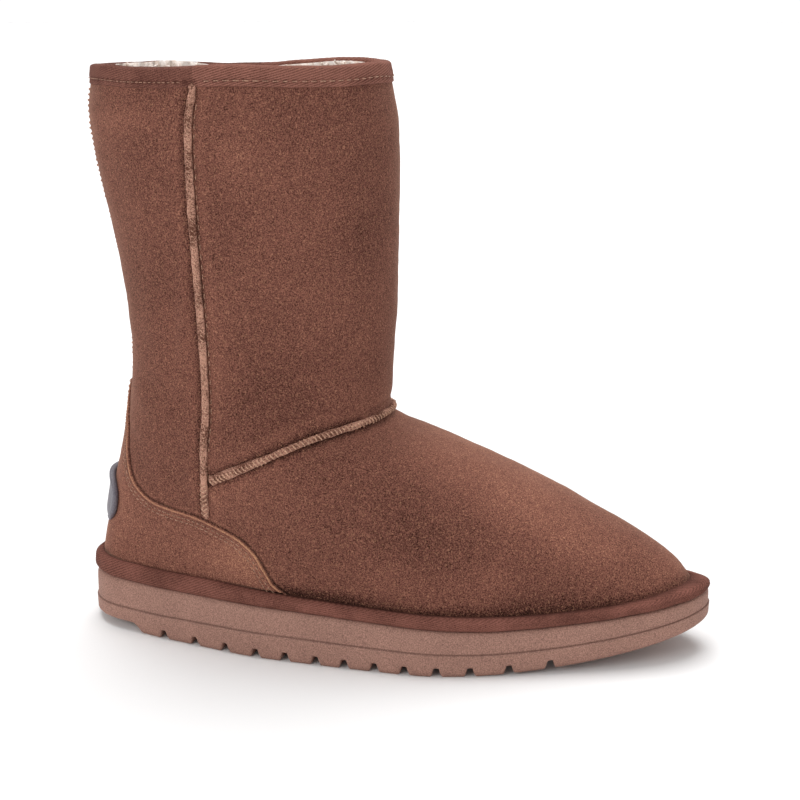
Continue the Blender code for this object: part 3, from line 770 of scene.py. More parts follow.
def add_piece(name, mesh, finish, slot, *nodes):
    """A shown piece of the boot that rides on its one body and stands for the solids named."""
    mesh.materials.clear()
    mesh.materials.append(finish)
    mesh.shade_smooth()
    piece = bpy.data.objects.new(name, mesh)
    bpy.context.scene.collection.objects.link(piece)
    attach(piece, "root")
    if nodes:
        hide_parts(*nodes)


def fill_inputs(tree, node, sockets):
    """Gives each input named a value, or links it to the output given."""
    for name, value in sockets.items():
        if isinstance(value, bpy.types.NodeSocket):
            tree.links.new(value, node.inputs[name])
        else:
            node.inputs[name].default_value = value


def add_node(tree, kind, sockets=None, **settings):
    """Adds a node with its settings and links."""
    made = tree.nodes.new(kind)
    for name, value in settings.items():
        setattr(made, name, value)
    fill_inputs(tree, made, sockets or {})
    return made


def linear(hex_colour):
    """An sRGB hex colour as linear values."""
    channels = [int(hex_colour[i : i + 2], 16) / 255.0 for i in (0, 2, 4)]
    return (*[c / 12.92 if c <= 0.04045 else ((c + 0.055) / 1.055) ** 2.4 for c in channels], 1.0)


def new_finish(name):
    made = bpy.data.materials.new(name)
    made.use_nodes = True
    tree = made.node_tree
    place = add_node(tree, "ShaderNodeTexCoord").outputs["Object"]
    return made, tree, tree.nodes["Principled BSDF"], place


def tinted(tree, value, low, high, dark, light, most=1.0):
    """A colour that runs from dark to light, or as far as most says, while a value rises."""
    sockets = {"Value": value, "From Min": low, "From Max": high, "To Max": most}
    blend = add_node(tree, "ShaderNodeMapRange", sockets).outputs["Result"]
    sockets = {0: blend, 6: dark, 7: linear(light)}
    return add_node(tree, "ShaderNodeMix", sockets, data_type="RGBA").outputs[2]


def napped_suede():
    """Sheepskin buffed on its flesh side: a short nap that lies in patches, so it is dull, speckled
    at the scale of its fibre clumps and paler where it turns away or is rubbed. The attribute it
    reads also carries painted highlight on lit slopes and painted shade in creases and grooves."""
    made, tree, shader, place = new_finish("napped_suede")
    sizes = ((0.5 * MM, 2.0, 3.9), (2.4 * MM, 3.0, 0.6), (30.0 * MM, 2.0, 0.45))
    total = add_node(tree, "ShaderNodeAttribute", attribute_name="nap_and_painted_light").outputs["Fac"]
    grains = []
    for size, detail, share in sizes:
        sockets = {"Vector": place, "Scale": 1.0 / size, "Detail": detail, "Roughness": 0.6}
        grains.append(add_node(tree, "ShaderNodeTexNoise", sockets).outputs[0])
        sockets = {0: grains[-1], 1: share, 2: total}
        total = add_node(tree, "ShaderNodeMath", sockets, operation="MULTIPLY_ADD").outputs[0]
    middle = sum(share for _, _, share in sizes) / 2.0
    colour = tinted(tree, total, middle - 0.80, middle + 0.80, linear("27120D"), "88584B")
    sockets = {"Vector": place, "Scale": 1.0 / (0.8 * MM), "Detail": 2.0, "Roughness": 0.7}
    fibres = add_node(tree, "ShaderNodeTexNoise", sockets).outputs[0]
    colour = tinted(tree, fibres, 0.55, 0.72, colour, "AC7C62", most=0.6)
    colour = tinted(tree, total, middle + 0.55, middle + 1.9, colour, "C4946F")
    sockets = {"Strength": 0.3, "Distance": 0.3 * MM, "Height": grains[1]}
    clumps = add_node(tree, "ShaderNodeBump", sockets)
    sockets = {
        "Strength": 0.55,
        "Distance": 0.16 * MM,
        "Height": grains[0],
        "Normal": clumps.outputs["Normal"],
    }
    nap = add_node(tree, "ShaderNodeBump", sockets)
    surface = {
        "Base Color": colour,
        "Normal": nap.outputs["Normal"],
        "Roughness": 0.95,
        "Specular IOR Level": 0.1,
        "Sheen Weight": 0.30,
        "Sheen Roughness": 0.4,
        "Sheen Tint": linear("E0B49C"),
    }
    fill_inputs(tree, shader, surface)
    return made


def turned_hide():
    """The hide's cut and turned edge: paler and smoother than the nap, with fibres drawn out."""
    made, tree, shader, place = new_finish("turned_hide_edge")
    sockets = {"Vector": place, "Scale": 1.0 / (0.6 * MM), "Detail": 3.0}
    fibres = add_node(tree, "ShaderNodeTexNoise", sockets).outputs[0]
    sockets = {"Vector": place, "Scale": 1.0 / (9.0 * MM), "Detail": 2.0}
    rubbed = add_node(tree, "ShaderNodeTexNoise", sockets).outputs[0]
    sockets = {0: rubbed, 1: 0.8, 2: fibres}
    total = add_node(tree, "ShaderNodeMath", sockets, operation="MULTIPLY_ADD").outputs[0]
    colour = tinted(tree, total, 0.75, 1.05, linear("5C392D"), "BC8E7A")
    sockets = {"Strength": 0.6, "Distance": 0.3 * MM, "Height": fibres}
    rough = add_node(tree, "ShaderNodeBump", sockets)
    surface = {
        "Base Color": colour,
        "Normal": rough.outputs["Normal"],
        "Roughness": 0.85,
        "Specular IOR Level": 0.15,
    }
    fill_inputs(tree, shader, surface)
    return made


def twill_weave(name, dark, light):
    """Cotton tape in a twill weave: slanting ribs that catch the light, painted lighter on their
    crowns with painted shade in the dark grooves between, over speckled yarns.
    """
    made, tree, shader, place = new_finish(name)
    rib = add_node(tree, "ShaderNodeAttribute", attribute_name="rib").outputs["Fac"]
    sockets = {"Vector": place, "Scale": 1.0 / (0.45 * MM), "Detail": 2.0}
    yarn = add_node(tree, "ShaderNodeTexNoise", sockets).outputs[0]
    sockets = {"Vector": place, "Scale": 1.0 / (12.0 * MM), "Detail": 2.0}
    faded = add_node(tree, "ShaderNodeTexNoise", sockets).outputs[0]
    # The rib attribute paints light on the ribs' crowns and shade between them.
    total = add_node(tree, "ShaderNodeMath", {0: rib, 1: 0.6, 2: yarn}, operation="MULTIPLY_ADD")
    sockets = {0: faded, 1: 0.5, 2: total.outputs[0]}
    total = add_node(tree, "ShaderNodeMath", sockets, operation="MULTIPLY_ADD").outputs[0]
    colour = tinted(tree, total, 0.65, 1.45, linear(dark), light)
    sockets = {"Strength": 0.35, "Distance": 0.12 * MM, "Height": yarn}
    fuzz = add_node(tree, "ShaderNodeBump", sockets)
    surface = {
        "Base Color": colour,
        "Normal": fuzz.outputs["Normal"],
        "Roughness": 0.9,
        "Specular IOR Level": 0.1,
    }
    fill_inputs(tree, shader, surface)
    return made


def clipped_wool():
    """Wool on the skin, clipped short: matt cream, yellower in its depths, in soft curls."""
    made, tree, shader, place = new_finish("clipped_wool")
    sockets = {"Vector": place, "Scale": 1.0 / (3.2 * MM), "Detail": 4.0, "Roughness": 0.65}
    curls = add_node(tree, "ShaderNodeTexNoise", sockets).outputs[0]
    colour = tinted(tree, curls, 0.35, 0.62, linear("CFB9A8"), "F3E9E2")
    sockets = {"Strength": 0.6, "Distance": 1.2 * MM, "Height": curls}
    soft = add_node(tree, "ShaderNodeBump", sockets)
    surface = {
        "Base Color": colour,
        "Normal": soft.outputs["Normal"],
        "Roughness": 1.0,
        "Specular IOR Level": 0.1,
        "Sheen Weight": 0.4,
        "Sheen Roughness": 0.6,
    }
    fill_inputs(tree, shader, surface)
    return made


def moulded_foam():
    """EVA foam moulded in one piece: matt taupe, with pale and dark specks of its fine cells and
    painted shade darkening its parting line."""
    made, tree, shader, place = new_finish("moulded_eva_foam")
    sockets = {"Vector": place, "Scale": 1.0 / (0.5 * MM), "Detail": 2.0, "Roughness": 0.6}
    cells = add_node(tree, "ShaderNodeTexNoise", sockets).outputs[0]
    sockets = {"Vector": place, "Scale": 1.0 / (14.0 * MM), "Detail": 2.0}
    cloud = add_node(tree, "ShaderNodeTexNoise", sockets).outputs[0]
    sockets = {0: cloud, 1: 0.12, 2: cells}
    total = add_node(tree, "ShaderNodeMath", sockets, operation="MULTIPLY_ADD").outputs[0]
    # Painted shade: the parting line's crease is made darker.
    parting_line_painted_shade = add_node(tree, "ShaderNodeAttribute", attribute_name="parting_line_painted_shade").outputs["Fac"]
    sockets = {0: parting_line_painted_shade, 1: -0.30, 2: total}
    total = add_node(tree, "ShaderNodeMath", sockets, operation="MULTIPLY_ADD").outputs[0]
    colour = tinted(tree, total, 0.32, 0.80, linear("6A4B41"), "B08676")
    sockets = {"Strength": 0.3, "Distance": 0.12 * MM, "Height": cells}
    pores = add_node(tree, "ShaderNodeBump", sockets)
    surface = {
        "Base Color": colour,
        "Normal": pores.outputs["Normal"],
        "Roughness": 0.75,
        "Specular IOR Level": 0.35,
    }
    fill_inputs(tree, shader, surface)
    return made


def spun_thread(name, dark, light):
    """Waxed polyester thread: two twisted plies, with a slight gloss on their crowns."""
    made, tree, shader, place = new_finish(name)
    sockets = {"Vector": place, "Scale": 1.0 / (0.5 * MM), "Detail": 2.0}
    plies = add_node(tree, "ShaderNodeTexNoise", sockets).outputs[0]
    colour = tinted(tree, plies, 0.35, 0.65, linear(dark), light)
    sockets = {"Strength": 0.3, "Distance": 0.1 * MM, "Height": plies}
    twist = add_node(tree, "ShaderNodeBump", sockets)
    surface = {
        "Base Color": colour,
        "Normal": twist.outputs["Normal"],
        "Roughness": 0.6,
    }
    fill_inputs(tree, shader, surface)
    return made


def moulded_rubber():
    """Soft injection-moulded rubber: satin grey, with the fine grain of a spark-eroded mould."""
    made, tree, shader, place = new_finish("moulded_soft_rubber")
    sockets = {"Vector": place, "Scale": 1.0 / (0.7 * MM), "Detail": 2.0}
    grain = add_node(tree, "ShaderNodeTexNoise", sockets).outputs[0]
    colour = tinted(tree, grain, 0.3, 0.7, linear("504B52"), "6F6971")
    sockets = {"Strength": 0.2, "Distance": 0.08 * MM, "Height": grain}
    eroded = add_node(tree, "ShaderNodeBump", sockets)
    surface = {
        "Base Color": colour,
        "Normal": eroded.outputs["Normal"],
        "Roughness": 0.5,
    }
    fill_inputs(tree, shader, surface)
    return made


def twill_ribs(along, up, total, spacings):
    """Height from 0 to 1 of a twill's ribs, which rise forwards on the outer side. along is the
    distance round the boot, of which total is the whole, and up the distance across the tape."""
    level, upright = (spacing * MM for spacing in spacings)
    phase = along / total * round(total / level) - up / upright
    return 0.5 + 0.5 * np.cos(2.0 * math.pi * phase)


SeamLines = namedtuple("SeamLines", "outer inner vamp counter back")


def seam_lines():
    """The lines of all seams as points on the skin, for what lies beside them."""
    angle, ring = side_seam_path(0.5 * MM, 0.52, 1.93)
    outer, inner = skin(angle, ring), skin(-angle, ring)
    vamp = skin(*vamp_seam_path(0.5 * MM))
    angle, ring = counter_edge_path(0.5 * MM)
    counter = np.vstack([skin(angle, ring), skin(-angle, ring)])
    back = skin(*back_seam_path(COUNTER_TOP, COLLAR_HEIGHT - COLLAR_TAPE_HEIGHT, 240))
    return SeamLines(outer, inner, vamp, counter, back)


def graded(count, fine):
    """Shares from 0 up to but without 1, in steps that end as the share fine of even ones."""
    t = np.arange(count) / count
    return 1.0 - (1.0 - t) * (fine + (1.0 - fine) * (1.0 - t))


def build_upper(finish, lines):
    """The suede: creased, pulled down into each seam and swollen beside it."""
    rings = np.concatenate([
        np.linspace(0.0, 5.0, 44, endpoint=False),
        np.linspace(5.0, 9.6, 92, endpoint=False),
        np.linspace(9.6, COLLAR_RING, 64),
    ])
    seam = side_seam_angle(rings)[None, :]
    rear = graded(REAR_COLUMNS, 0.35)[:, None]
    front = 1.0 - graded(FRONT_COLUMNS, 0.35)[::-1, None]
    front = np.concatenate([[[0.0]], front[:-1]])
    half = np.concatenate([rear * seam, seam + (math.pi - seam) * front])
    angle = np.concatenate([half, 2.0 * math.pi - half[:0:-1]])
    angle = np.insert(angle, len(half), math.pi, axis=0)
    bare = skin(angle, rings[None, :])
    away = {
        "side": np.minimum(distance_to(bare, lines.outer), distance_to(bare, lines.inner)),
        "vamp": distance_to(bare, lines.vamp),
        "back": distance_to(bare, lines.back),
        "counter": distance_to(bare, lines.counter),
    }
    pull = np.zeros(bare.shape[:2])
    for fade in SEAM_PULLS:
        pull += fade.amount * MM * bell(away[fade.seam], fade.reach * MM, fade.middle * MM)
    waves = 0.10 * MM * waviness(bare, 24.0 * MM, SEED)
    pull += waves + 0.05 * MM * waviness(bare, 9.0 * MM, SEED + 1)
    # Colour shift of the nap: its own patches and rubbed seams, plus painted highlight on lit
    # slopes and painted shade in the seams' creases, beside the side seams and along the welt's
    # top.
    nap_and_painted_light = patch_sum(TONES, bare)
    for fade in SEAM_TONES:
        nap_and_painted_light += fade.amount * bell(away[fade.seam], fade.reach * MM, fade.middle * MM)
    behind = from_back(angle) < seam
    reach = np.where(behind, SIDE_SHADE_BEHIND, SIDE_SHADE_AHEAD) * MM
    nap_and_painted_light += SIDE_SEAM_PAINTED_SHADE * bell(away["side"], reach)
    welt_top = WELT_RING - welt_drop(angle) / WELT_HEIGHT
    nap_and_painted_light += WELT_TOP_PAINTED_SHADE * bell(rings[None, :], 0.3, welt_top)
    outside = skin(angle, rings[None, :], pull)
    inside_rings = np.linspace(COLLAR_RING, 0.0, 14)
    picked = np.searchsorted(rings, inside_rings).clip(0, len(rings) - 1)
    inside = skin(angle[:, picked], rings[picked][None, :], -1.6 * MM)
    nap_and_painted_light_rows = np.hstack([nap_and_painted_light, np.zeros(inside.shape[:2])])
    mesh = loft("suede_upper", np.hstack([outside, inside]), fields={"nap_and_painted_light": nap_and_painted_light_rows})
    add_piece("suede_upper", mesh, finish, "sheepskin_suede", "upper")


def wool_rise(angle):
    """How far the wool stands above the tape: most over the rear of the inner side."""
    turned = np.degrees(angle) % 360.0
    rear = smooth_step((turned - 288.0) / 20.0) * smooth_step((362.0 - turned) / 10.0)
    fore = smooth_step((turned - 175.0) / 15.0) * smooth_step((250.0 - turned) / 30.0)
    return (0.3 + 2.2 * rear + 0.9 * fore) * MM


def build_lining(finish):
    """The fleece side of the skin, from the toe up to the collar tape."""
    angle = full_turn(LINING_COLUMNS)[:, None]
    rings = np.linspace(0.25, COLLAR_RING - 0.03, 120)[None, :]
    bare = skin(angle, rings)
    curls = waviness(bare, 9.0 * MM, SEED + 2) + 0.8 * waviness(bare, 5.0 * MM, SEED + 3)
    pile = 1.6 * MM + 0.45 * MM * curls + 1.6 * MM * smooth_step((rings - COLLAR_RING + 1.6) / 0.8)
    wool = skin(angle, rings, -UPPER_WALL - pile)
    wool[..., 2] += wool_rise(angle) * smooth_step((rings - COLLAR_RING + 0.5) / 0.5)
    backing = skin(angle, rings[:, ::-8], -1.9 * MM)
    mesh = loft("fleece_lining", np.hstack([wool, backing]))
    add_piece("fleece_lining", mesh, finish, "fleece")


def build_insole(finish):
    """The fleece sock on the sole, pressed a little at the heel and the ball."""
    inset = UPPER_WALL + INSOLE_CLEARANCE
    angle = full_turn(INSOLE_COLUMNS)
    bare = upper_surface(angle, 0.0)
    flat = upper_normal(angle, 0.3)[:, :2]
    edge = bare[:, :2] - inset * flat / np.linalg.norm(flat, axis=1, keepdims=True)
    spine_x = np.clip(edge[:, 0], 0.12 * SOLE_LENGTH, 0.90 * SOLE_LENGTH)
    spine = np.stack([spine_x, middle_line(spine_x)], -1)
    sections = []
    for share in (1.0, 0.5, 0.0):
        flat = spine + (edge - spine) * (1.0 - share)
        sections.append(np.column_stack([flat, sole_top(flat[:, 0]) + GAP]))
    for share in np.concatenate([[0.0], np.linspace(0.01, 1.0, 34)]):
        flat = spine + (edge - spine) * (1.0 - share)
        points = np.column_stack([flat, sole_top(flat[:, 0]) + GAP + INSOLE_THICKNESS])
        round_off = 1.0 - smooth_step(share / 0.06)
        points[:, 2] -= 1.0 * MM * round_off + (0.0 if share == 0.0 else 0.35 * MM)
        points[:, 2] += 0.35 * MM * waviness(points, 6.0 * MM, SEED + 4) * (1.0 - round_off)
        sections.append(points)
    mesh = loft("fleece_insole", np.array(sections).transpose(1, 0, 2), closed=False, zipped=True)
    add_piece("fleece_insole", mesh, finish, "fleece", "insole")


def build_collar_band(finish):
    """Twill tape folded over the collar, with its ribs, pressed in along its row of stitches."""
    angle = full_turn(COLLAR_COLUMNS)
    skin_out = GAP + COLLAR_TAPE_THICKNESS
    inner = -UPPER_WALL - GAP - COLLAR_TAPE_THICKNESS
    legs = np.linspace(1.0, 0.0, 33)
    arch = np.linspace(0.0, math.pi, 15)[1:-1]
    middle, half = (skin_out + inner) / 2.0, (skin_out - inner) / 2.0
    below = np.concatenate([
        COLLAR_TAPE_HEIGHT * legs,
        -np.sin(arch) * (GAP + COLLAR_TAPE_THICKNESS),
        COLLAR_TAPE_HEIGHT * 0.4 * np.linspace(0.0, 1.0, 8),
    ])
    out = np.concatenate([
        skin_out - 0.55 * MM * smooth_step(legs * 1.6 - 0.6),
        middle + half * np.cos(arch),
        np.full(8, inner),
    ])
    out[0] = GAP * 0.5
    out[1] -= 0.25 * MM
    path = lengths(np.column_stack([below, out, np.zeros(len(out))]))
    rim = skin(angle, np.full(len(angle), COLLAR_RING))
    around = lengths(np.vstack([rim, rim[:1]]))
    crossing = side_seam_angle(np.full(1, COLLAR_RING - 0.3))[0]
    front = smooth_step((from_back(angle) - crossing) / 0.01)[:, None]
    ribs = twill_ribs(around[:-1, None], path[None, :], around[-1], COLLAR_RIBS)
    ribs = ribs * (0.45 + 0.55 * front)
    up = COLLAR_TAPE_HEIGHT - np.minimum(below, COLLAR_TAPE_HEIGHT)
    row = bell(up[None, :], 0.9 * MM, COLLAR_DASH_UP * MM) * (out > 0.0)[None, :]
    pucker = 0.5 + 0.5 * np.cos(2.0 * math.pi * around[:-1, None] / (COLLAR_DASH.pitch * MM))
    lift = 0.15 * MM * ribs - 0.22 * MM * row * (0.5 + 0.5 * pucker) - 0.25 * MM * (1.0 - front)
    uneven = 0.12 * MM * waviness(rim, 20.0 * MM, SEED + 5)
    z = COLLAR_HEIGHT - np.maximum(below, 0.0)
    ring = ring_at(angle[:, None], z[None, :])
    base = skin(angle[:, None], ring)
    normal = upper_normal(angle[:, None], ring)
    flat = normal.copy()
    flat[..., 2] = 0.0
    flat /= np.linalg.norm(flat, axis=-1, keepdims=True)
    offset = out[None, :] + np.where(out > middle, lift, -lift)
    points = base + flat * offset[..., None]
    over_top = np.maximum(-below, 0.0)
    points[..., 2] += over_top[None, :] + uneven[:, None] + (over_top > 0.0) * 0.08 * MM * ribs
    # Painted light and shade for the finish: ribs lighter on their crowns and darker between, the
    # rear tape a little darker, and painted shade in the puckered row of stitches.
    shade = ribs - 0.05 * (1.0 - front) - 0.4 * row * pucker
    mesh = loft("collar_band", points, fields={"rib": shade})
    add_piece("collar_band", mesh, finish, "twill_tape", "collar_tape")


def build_welt(finish):
    """Twill tape rolled over the joint of upper and sole, its top tucked in against the suede."""
    angle = full_turn(WELT_COLUMNS)
    edge = sole_edge(angle)
    outwards = sole_outwards(angle)
    station = np.clip(edge[:, 0], 0.0, SOLE_LENGTH)
    seat = sole_top(station) + GAP
    tall = upper_surface(angle, float(WELT_RING))[..., 2] - seat - welt_drop(angle)
    share = np.linspace(0.0, 1.0, 24)
    roll = smooth_curve([0.0, 0.14, 0.5, 0.84, 1.0], [-1.0, 0.2, 0.6, -0.2, -1.9])(share) * MM
    line = np.column_stack([edge, seat])
    around = lengths(np.vstack([line, line[:1]]))
    worn = 0.55 + 0.30 * waviness(line, 60.0 * MM, SEED + 10).clip(-1.0, 1.0)
    up = (share * WELT_HEIGHT)[None, :]
    ribs = twill_ribs(around[:-1, None], up, around[-1], WELT_RIBS)
    ribs = ribs * worn[:, None]
    uneven = 0.14 * MM * waviness(line, 16.0 * MM, SEED + 6)
    offset = roll[None, :] + 0.06 * MM * ribs + uneven[:, None]
    flat = edge[:, None, :] + outwards[:, None, :] * offset[..., None]
    z = seat[:, None] + tall[:, None] * share[None, :]
    outside = np.concatenate([flat, z[..., None]], -1)
    top = WELT_RING - welt_drop(angle) / WELT_HEIGHT
    rolled_in = skin(angle[:, None], top[:, None] * np.array([0.95, 0.6, 0.2])[None, :], -0.2 * MM)
    rolled_in[..., 2] = np.maximum(rolled_in[..., 2], seat[:, None])
    points = np.hstack([outside, rolled_in])
    # The ribs' painted light and shade, fainter where the tape is worn, and none on the rolled-in
    # part.
    fields = {"rib": np.hstack([ribs, np.zeros(rolled_in.shape[:2])])}
    mesh = loft("welt_band", points, fields=fields)
    add_piece("welt_band", mesh, finish, "twill_tape", "welt")


def notch_depth(points):
    """How deep the tread is cut at each point seen from below."""
    depth = np.zeros(points.shape[:-1])
    for along in NOTCHES:
        for side in (1.0, -1.0):
            angle = np.array(side * math.acos(1.0 - 2.0 * along))
            edge = sole_edge(angle)
            inwards = -sole_outwards(angle) * np.array([NOTCH_SLANT, 1.0])
            inwards = inwards / np.linalg.norm(inwards)
            away = points[..., :2] - edge
            across = np.abs(away @ np.array([-inwards[1], inwards[0]]))
            ahead = away @ inwards
            reach = min(NOTCH_REACH, abs(edge[1] - middle_line(edge[0])) - TREAD_SPINE)
            wall = np.interp(across / MM, NOTCH_ACROSS, NOTCH_SHARE)
            inside = smooth_step((reach - ahead) / (1.2 * MM)) * (ahead > -4.0 * MM)
            depth = np.maximum(depth, NOTCH_DEPTH * wall * inside)
    return depth


def sole_columns():
    """Angles from the heel to the toe, close together where the tread is notched."""
    angle = np.linspace(0.0, math.pi, 6001)
    edge = sole_edge(angle)
    length = lengths(np.column_stack([edge, np.zeros(len(edge))]))
    spacing = np.full(len(angle), SOLE_SPACING * MM)
    for along in NOTCHES:
        at = np.interp(math.acos(1.0 - 2.0 * along), angle, length)
        spacing[np.abs(length - at) < NOTCH_BESIDE * MM] = NOTCH_SPACING * MM
    crowd = np.concatenate([[0.0], np.cumsum(np.diff(length) / spacing[1:])])
    count = int(crowd[-1])
    return np.interp(np.linspace(0.0, crowd[-1], count + 1), crowd, angle)


def build_sole(finish):
    """The foam sole: a parting line round its side, rounded notches and a fine ribbed tread."""
    half = sole_columns()
    angle = np.concatenate([half, 2.0 * math.pi - half[-2:0:-1]])
    edge, outwards = sole_edge(angle), sole_outwards(angle)
    station = np.clip(edge[:, 0], 0.0, SOLE_LENGTH)
    spine_x = np.clip(edge[:, 0], 0.07 * SOLE_LENGTH, 0.93 * SOLE_LENGTH)
    spine = np.stack([spine_x, middle_line(spine_x)], -1)

    def uncut(flat):
        x = np.clip(flat[..., 0], 0.0, SOLE_LENGTH)
        bevel = np.clip(HEEL_BEVEL_RISE - (x - HEEL_BEVEL), 0.0, HEEL_BEVEL_RISE)
        return ground_clearance(x) + bevel

    def underside(flat):
        x = np.clip(flat[..., 0], 0.0, SOLE_LENGTH)
        return np.maximum(uncut(flat), ground_clearance(x) + notch_depth(flat))

    # Painted shade for the parting line's crease, one value for each ring of the sole.
    sections, parting_line_painted_shade = [], [0.0] * 33
    for share in np.linspace(1.0, 0.0, 33):
        flat = spine + (edge + outwards * -SOLE_BOTTOM_ROUND - spine) * (1.0 - share)
        z = underside(flat)
        cross = 0.5 + 0.5 * np.cos(2.0 * math.pi * flat[:, 0] / (4.4 * MM))
        plain = smooth_step(share / 0.16) * (1.0 - smooth_step(notch_depth(flat) / (0.4 * MM)))
        plain = plain * smooth_step((flat[:, 0] - 0.12 * SOLE_LENGTH) / 0.010)
        rib = 0.45 * MM * smooth_step(cross * 1.6 - 0.6) * plain
        sections.append(np.column_stack([flat, z + rib]))
    low, high = ground_clearance(station), sole_top(station)
    cut = underside(edge) - low
    settled = PARTING_LINE_DIP * (1.0 - smooth_step(station / SOLE_LENGTH / 0.35))
    for share in SIDE_RINGS:
        out = np.interp(share, SIDE_SHARES, SIDE_PROUD) * MM
        flat = edge + outwards * out
        wall = np.column_stack([edge, low + share * 0.02])
        uneven = 0.04 * MM * waviness(wall, 30.0 * MM, SEED + 7)
        flat = flat + outwards * uneven[:, None]
        level = share - settled * math.sin(math.pi * share)
        z = low + (high - low) * level + cut * max(1.0 - share / 0.25, 0.0)
        sections.append(np.column_stack([flat, z]))
        parting_line_painted_shade.append(bell(share, PARTING_LINE_REACH, PARTING_LINE))
    for share in (0.04, 0.12, 0.4, 1.0):
        flat = spine + (edge + outwards * -SOLE_TOP_ROUND - spine) * (1.0 - share)
        sections.append(np.column_stack([flat, sole_top(np.clip(flat[:, 0], 0.0, SOLE_LENGTH))]))
        parting_line_painted_shade.append(0.0)
    points = np.array(sections).transpose(1, 0, 2)
    fields = {"parting_line_painted_shade": np.broadcast_to(parting_line_painted_shade, points.shape[:2])}
    mesh = loft("foam_sole", points, closed=False, fields=fields, zipped=True)
    add_piece("foam_sole", mesh, finish, "sole_foam", "outsole")


def build_counter(finish, counter_line):
    """The heel counter, its edge turned under into a soft rim with two stitched grooves."""
    angle, ring = counter_edge_path(0.6 * MM)
    top = np.linspace(angle[-1], -angle[-1], 26)[1:-1]
    angle_all = np.concatenate([angle, top, -angle[::-1]])
    ring_all = np.concatenate([ring, ring_at(top, np.full(len(top), COUNTER_TOP)), ring[::-1]])
    base = np.minimum(ring_at(angle_all, upper_surface(angle_all, 0.9)[..., 2]), ring_all - 0.02)
    share = 1.0 - (1.0 - np.linspace(0.0, 1.0, 44)) ** 1.7
    rings = base[:, None] + (ring_all - base)[:, None] * share[None, :]
    spots = np.broadcast_to(angle_all[:, None], rings.shape)
    bare = skin(spots, rings)
    line = np.vstack([counter_line, skin(top, ring_at(top, np.full(len(top), COUNTER_TOP)))])
    inside = distance_to(bare, line) / MM
    rise = np.interp(inside, RIM_INSIDE, RIM_RISE) * MM
    rise = rise + 0.06 * MM * waviness(bare, 12.0 * MM, SEED + 8)
    rise = rise * (1.0 - 0.6 * smooth_step((bare[..., 2] - COUNTER_TOP + 0.010) / 0.010))
    outside = skin(spots, rings, GAP + rise)
    under = skin(spots[:, ::-9], rings[:, ::-9], -0.2 * MM)
    # Colour shift of the counter: paler overall with patches, plus painted highlight and painted
    # shade over its rim.
    nap_and_painted_light = 0.18 + patch_sum(COUNTER_TONES, bare) + np.interp(inside, RIM_INSIDE, RIM_PAINTED_LIGHT_AND_SHADE)
    nap_and_painted_light_rows = np.hstack([nap_and_painted_light, np.zeros(under.shape[:2])])
    mesh = loft("heel_counter", np.hstack([outside, under]), around=False, fields={"nap_and_painted_light": nap_and_painted_light_rows})
    add_piece("heel_counter", mesh, finish, "sheepskin_suede", "counter")


def build_ridge(name, path, width, tall, finish, whip, *nodes):
    """A raised seam: two hide edges rolled together, pinched by each whip stitch."""
    points, normals, ahead = path
    across = np.cross(ahead, normals)
    length = lengths(points)
    turn = full_turn(RIDGE_SIDES)
    ends = smooth_step(length / (1.6 * MM)) * smooth_step((length[-1] - length) / (1.6 * MM))
    ends = 0.25 + 0.75 * ends
    side = np.cos(turn)[None, :] * width / 2.0
    arc = np.sin(turn)
    lift = np.where(arc > 0.0, np.abs(arc) ** 0.75 * tall, arc * 0.9 * MM)
    turns = (length[:, None] + 0.5 * side) / (whip.pitch * MM)
    wave = 0.5 - 0.5 * np.cos(2.0 * math.pi * turns)
    wave = 0.72 + 0.28 * wave ** 0.7
    swell = 1.0 + 0.08 * waviness(points, 9.0 * MM, SEED + 9)[:, None]
    side = side * ends[:, None] * swell
    raised = lift[None, :] * wave * ends[:, None] * swell
    lift = np.where(lift[None, :] > 0.0, raised, lift[None, :])
    sections = points[:, None, :] + across[:, None, :] * side[..., None]
    sections = sections + normals[:, None, :] * lift[..., None]
    mesh = loft(name, sections, around=False)
    add_piece(name, mesh, finish, "seam_edge", *nodes)


def mirrored_path(angle, ring, side, outwards=0.0):
    return path_frame(side * angle, ring, outwards)


def begin_tree(name, source, sizes, finish, result):
    """A Geometry Nodes tree with its inputs and output, and what its input node gives."""
    tree = bpy.data.node_groups.new(name, "GeometryNodeTree")
    face = tree.interface
    face.new_socket(source, in_out="INPUT", socket_type="NodeSocketGeometry")
    for label, size in sizes.items():
        socket = face.new_socket(label, in_out="INPUT", socket_type="NodeSocketFloat")
        socket.default_value = size
    face.new_socket(finish, in_out="INPUT", socket_type="NodeSocketMaterial")
    face.new_socket(result, in_out="OUTPUT", socket_type="NodeSocketGeometry")
    return tree, add_node(tree, "NodeGroupInput").outputs


def end_tree(tree, copies, finish, result):
    """Makes the copies real and gives them their finish."""
    solid = add_node(tree, "GeometryNodeRealizeInstances", {"Geometry": copies}).outputs[0]
    sockets = {"Geometry": solid, "Material": finish}
    dyed = add_node(tree, "GeometryNodeSetMaterial", sockets).outputs[0]
    add_node(tree, "NodeGroupOutput", {result: dyed})


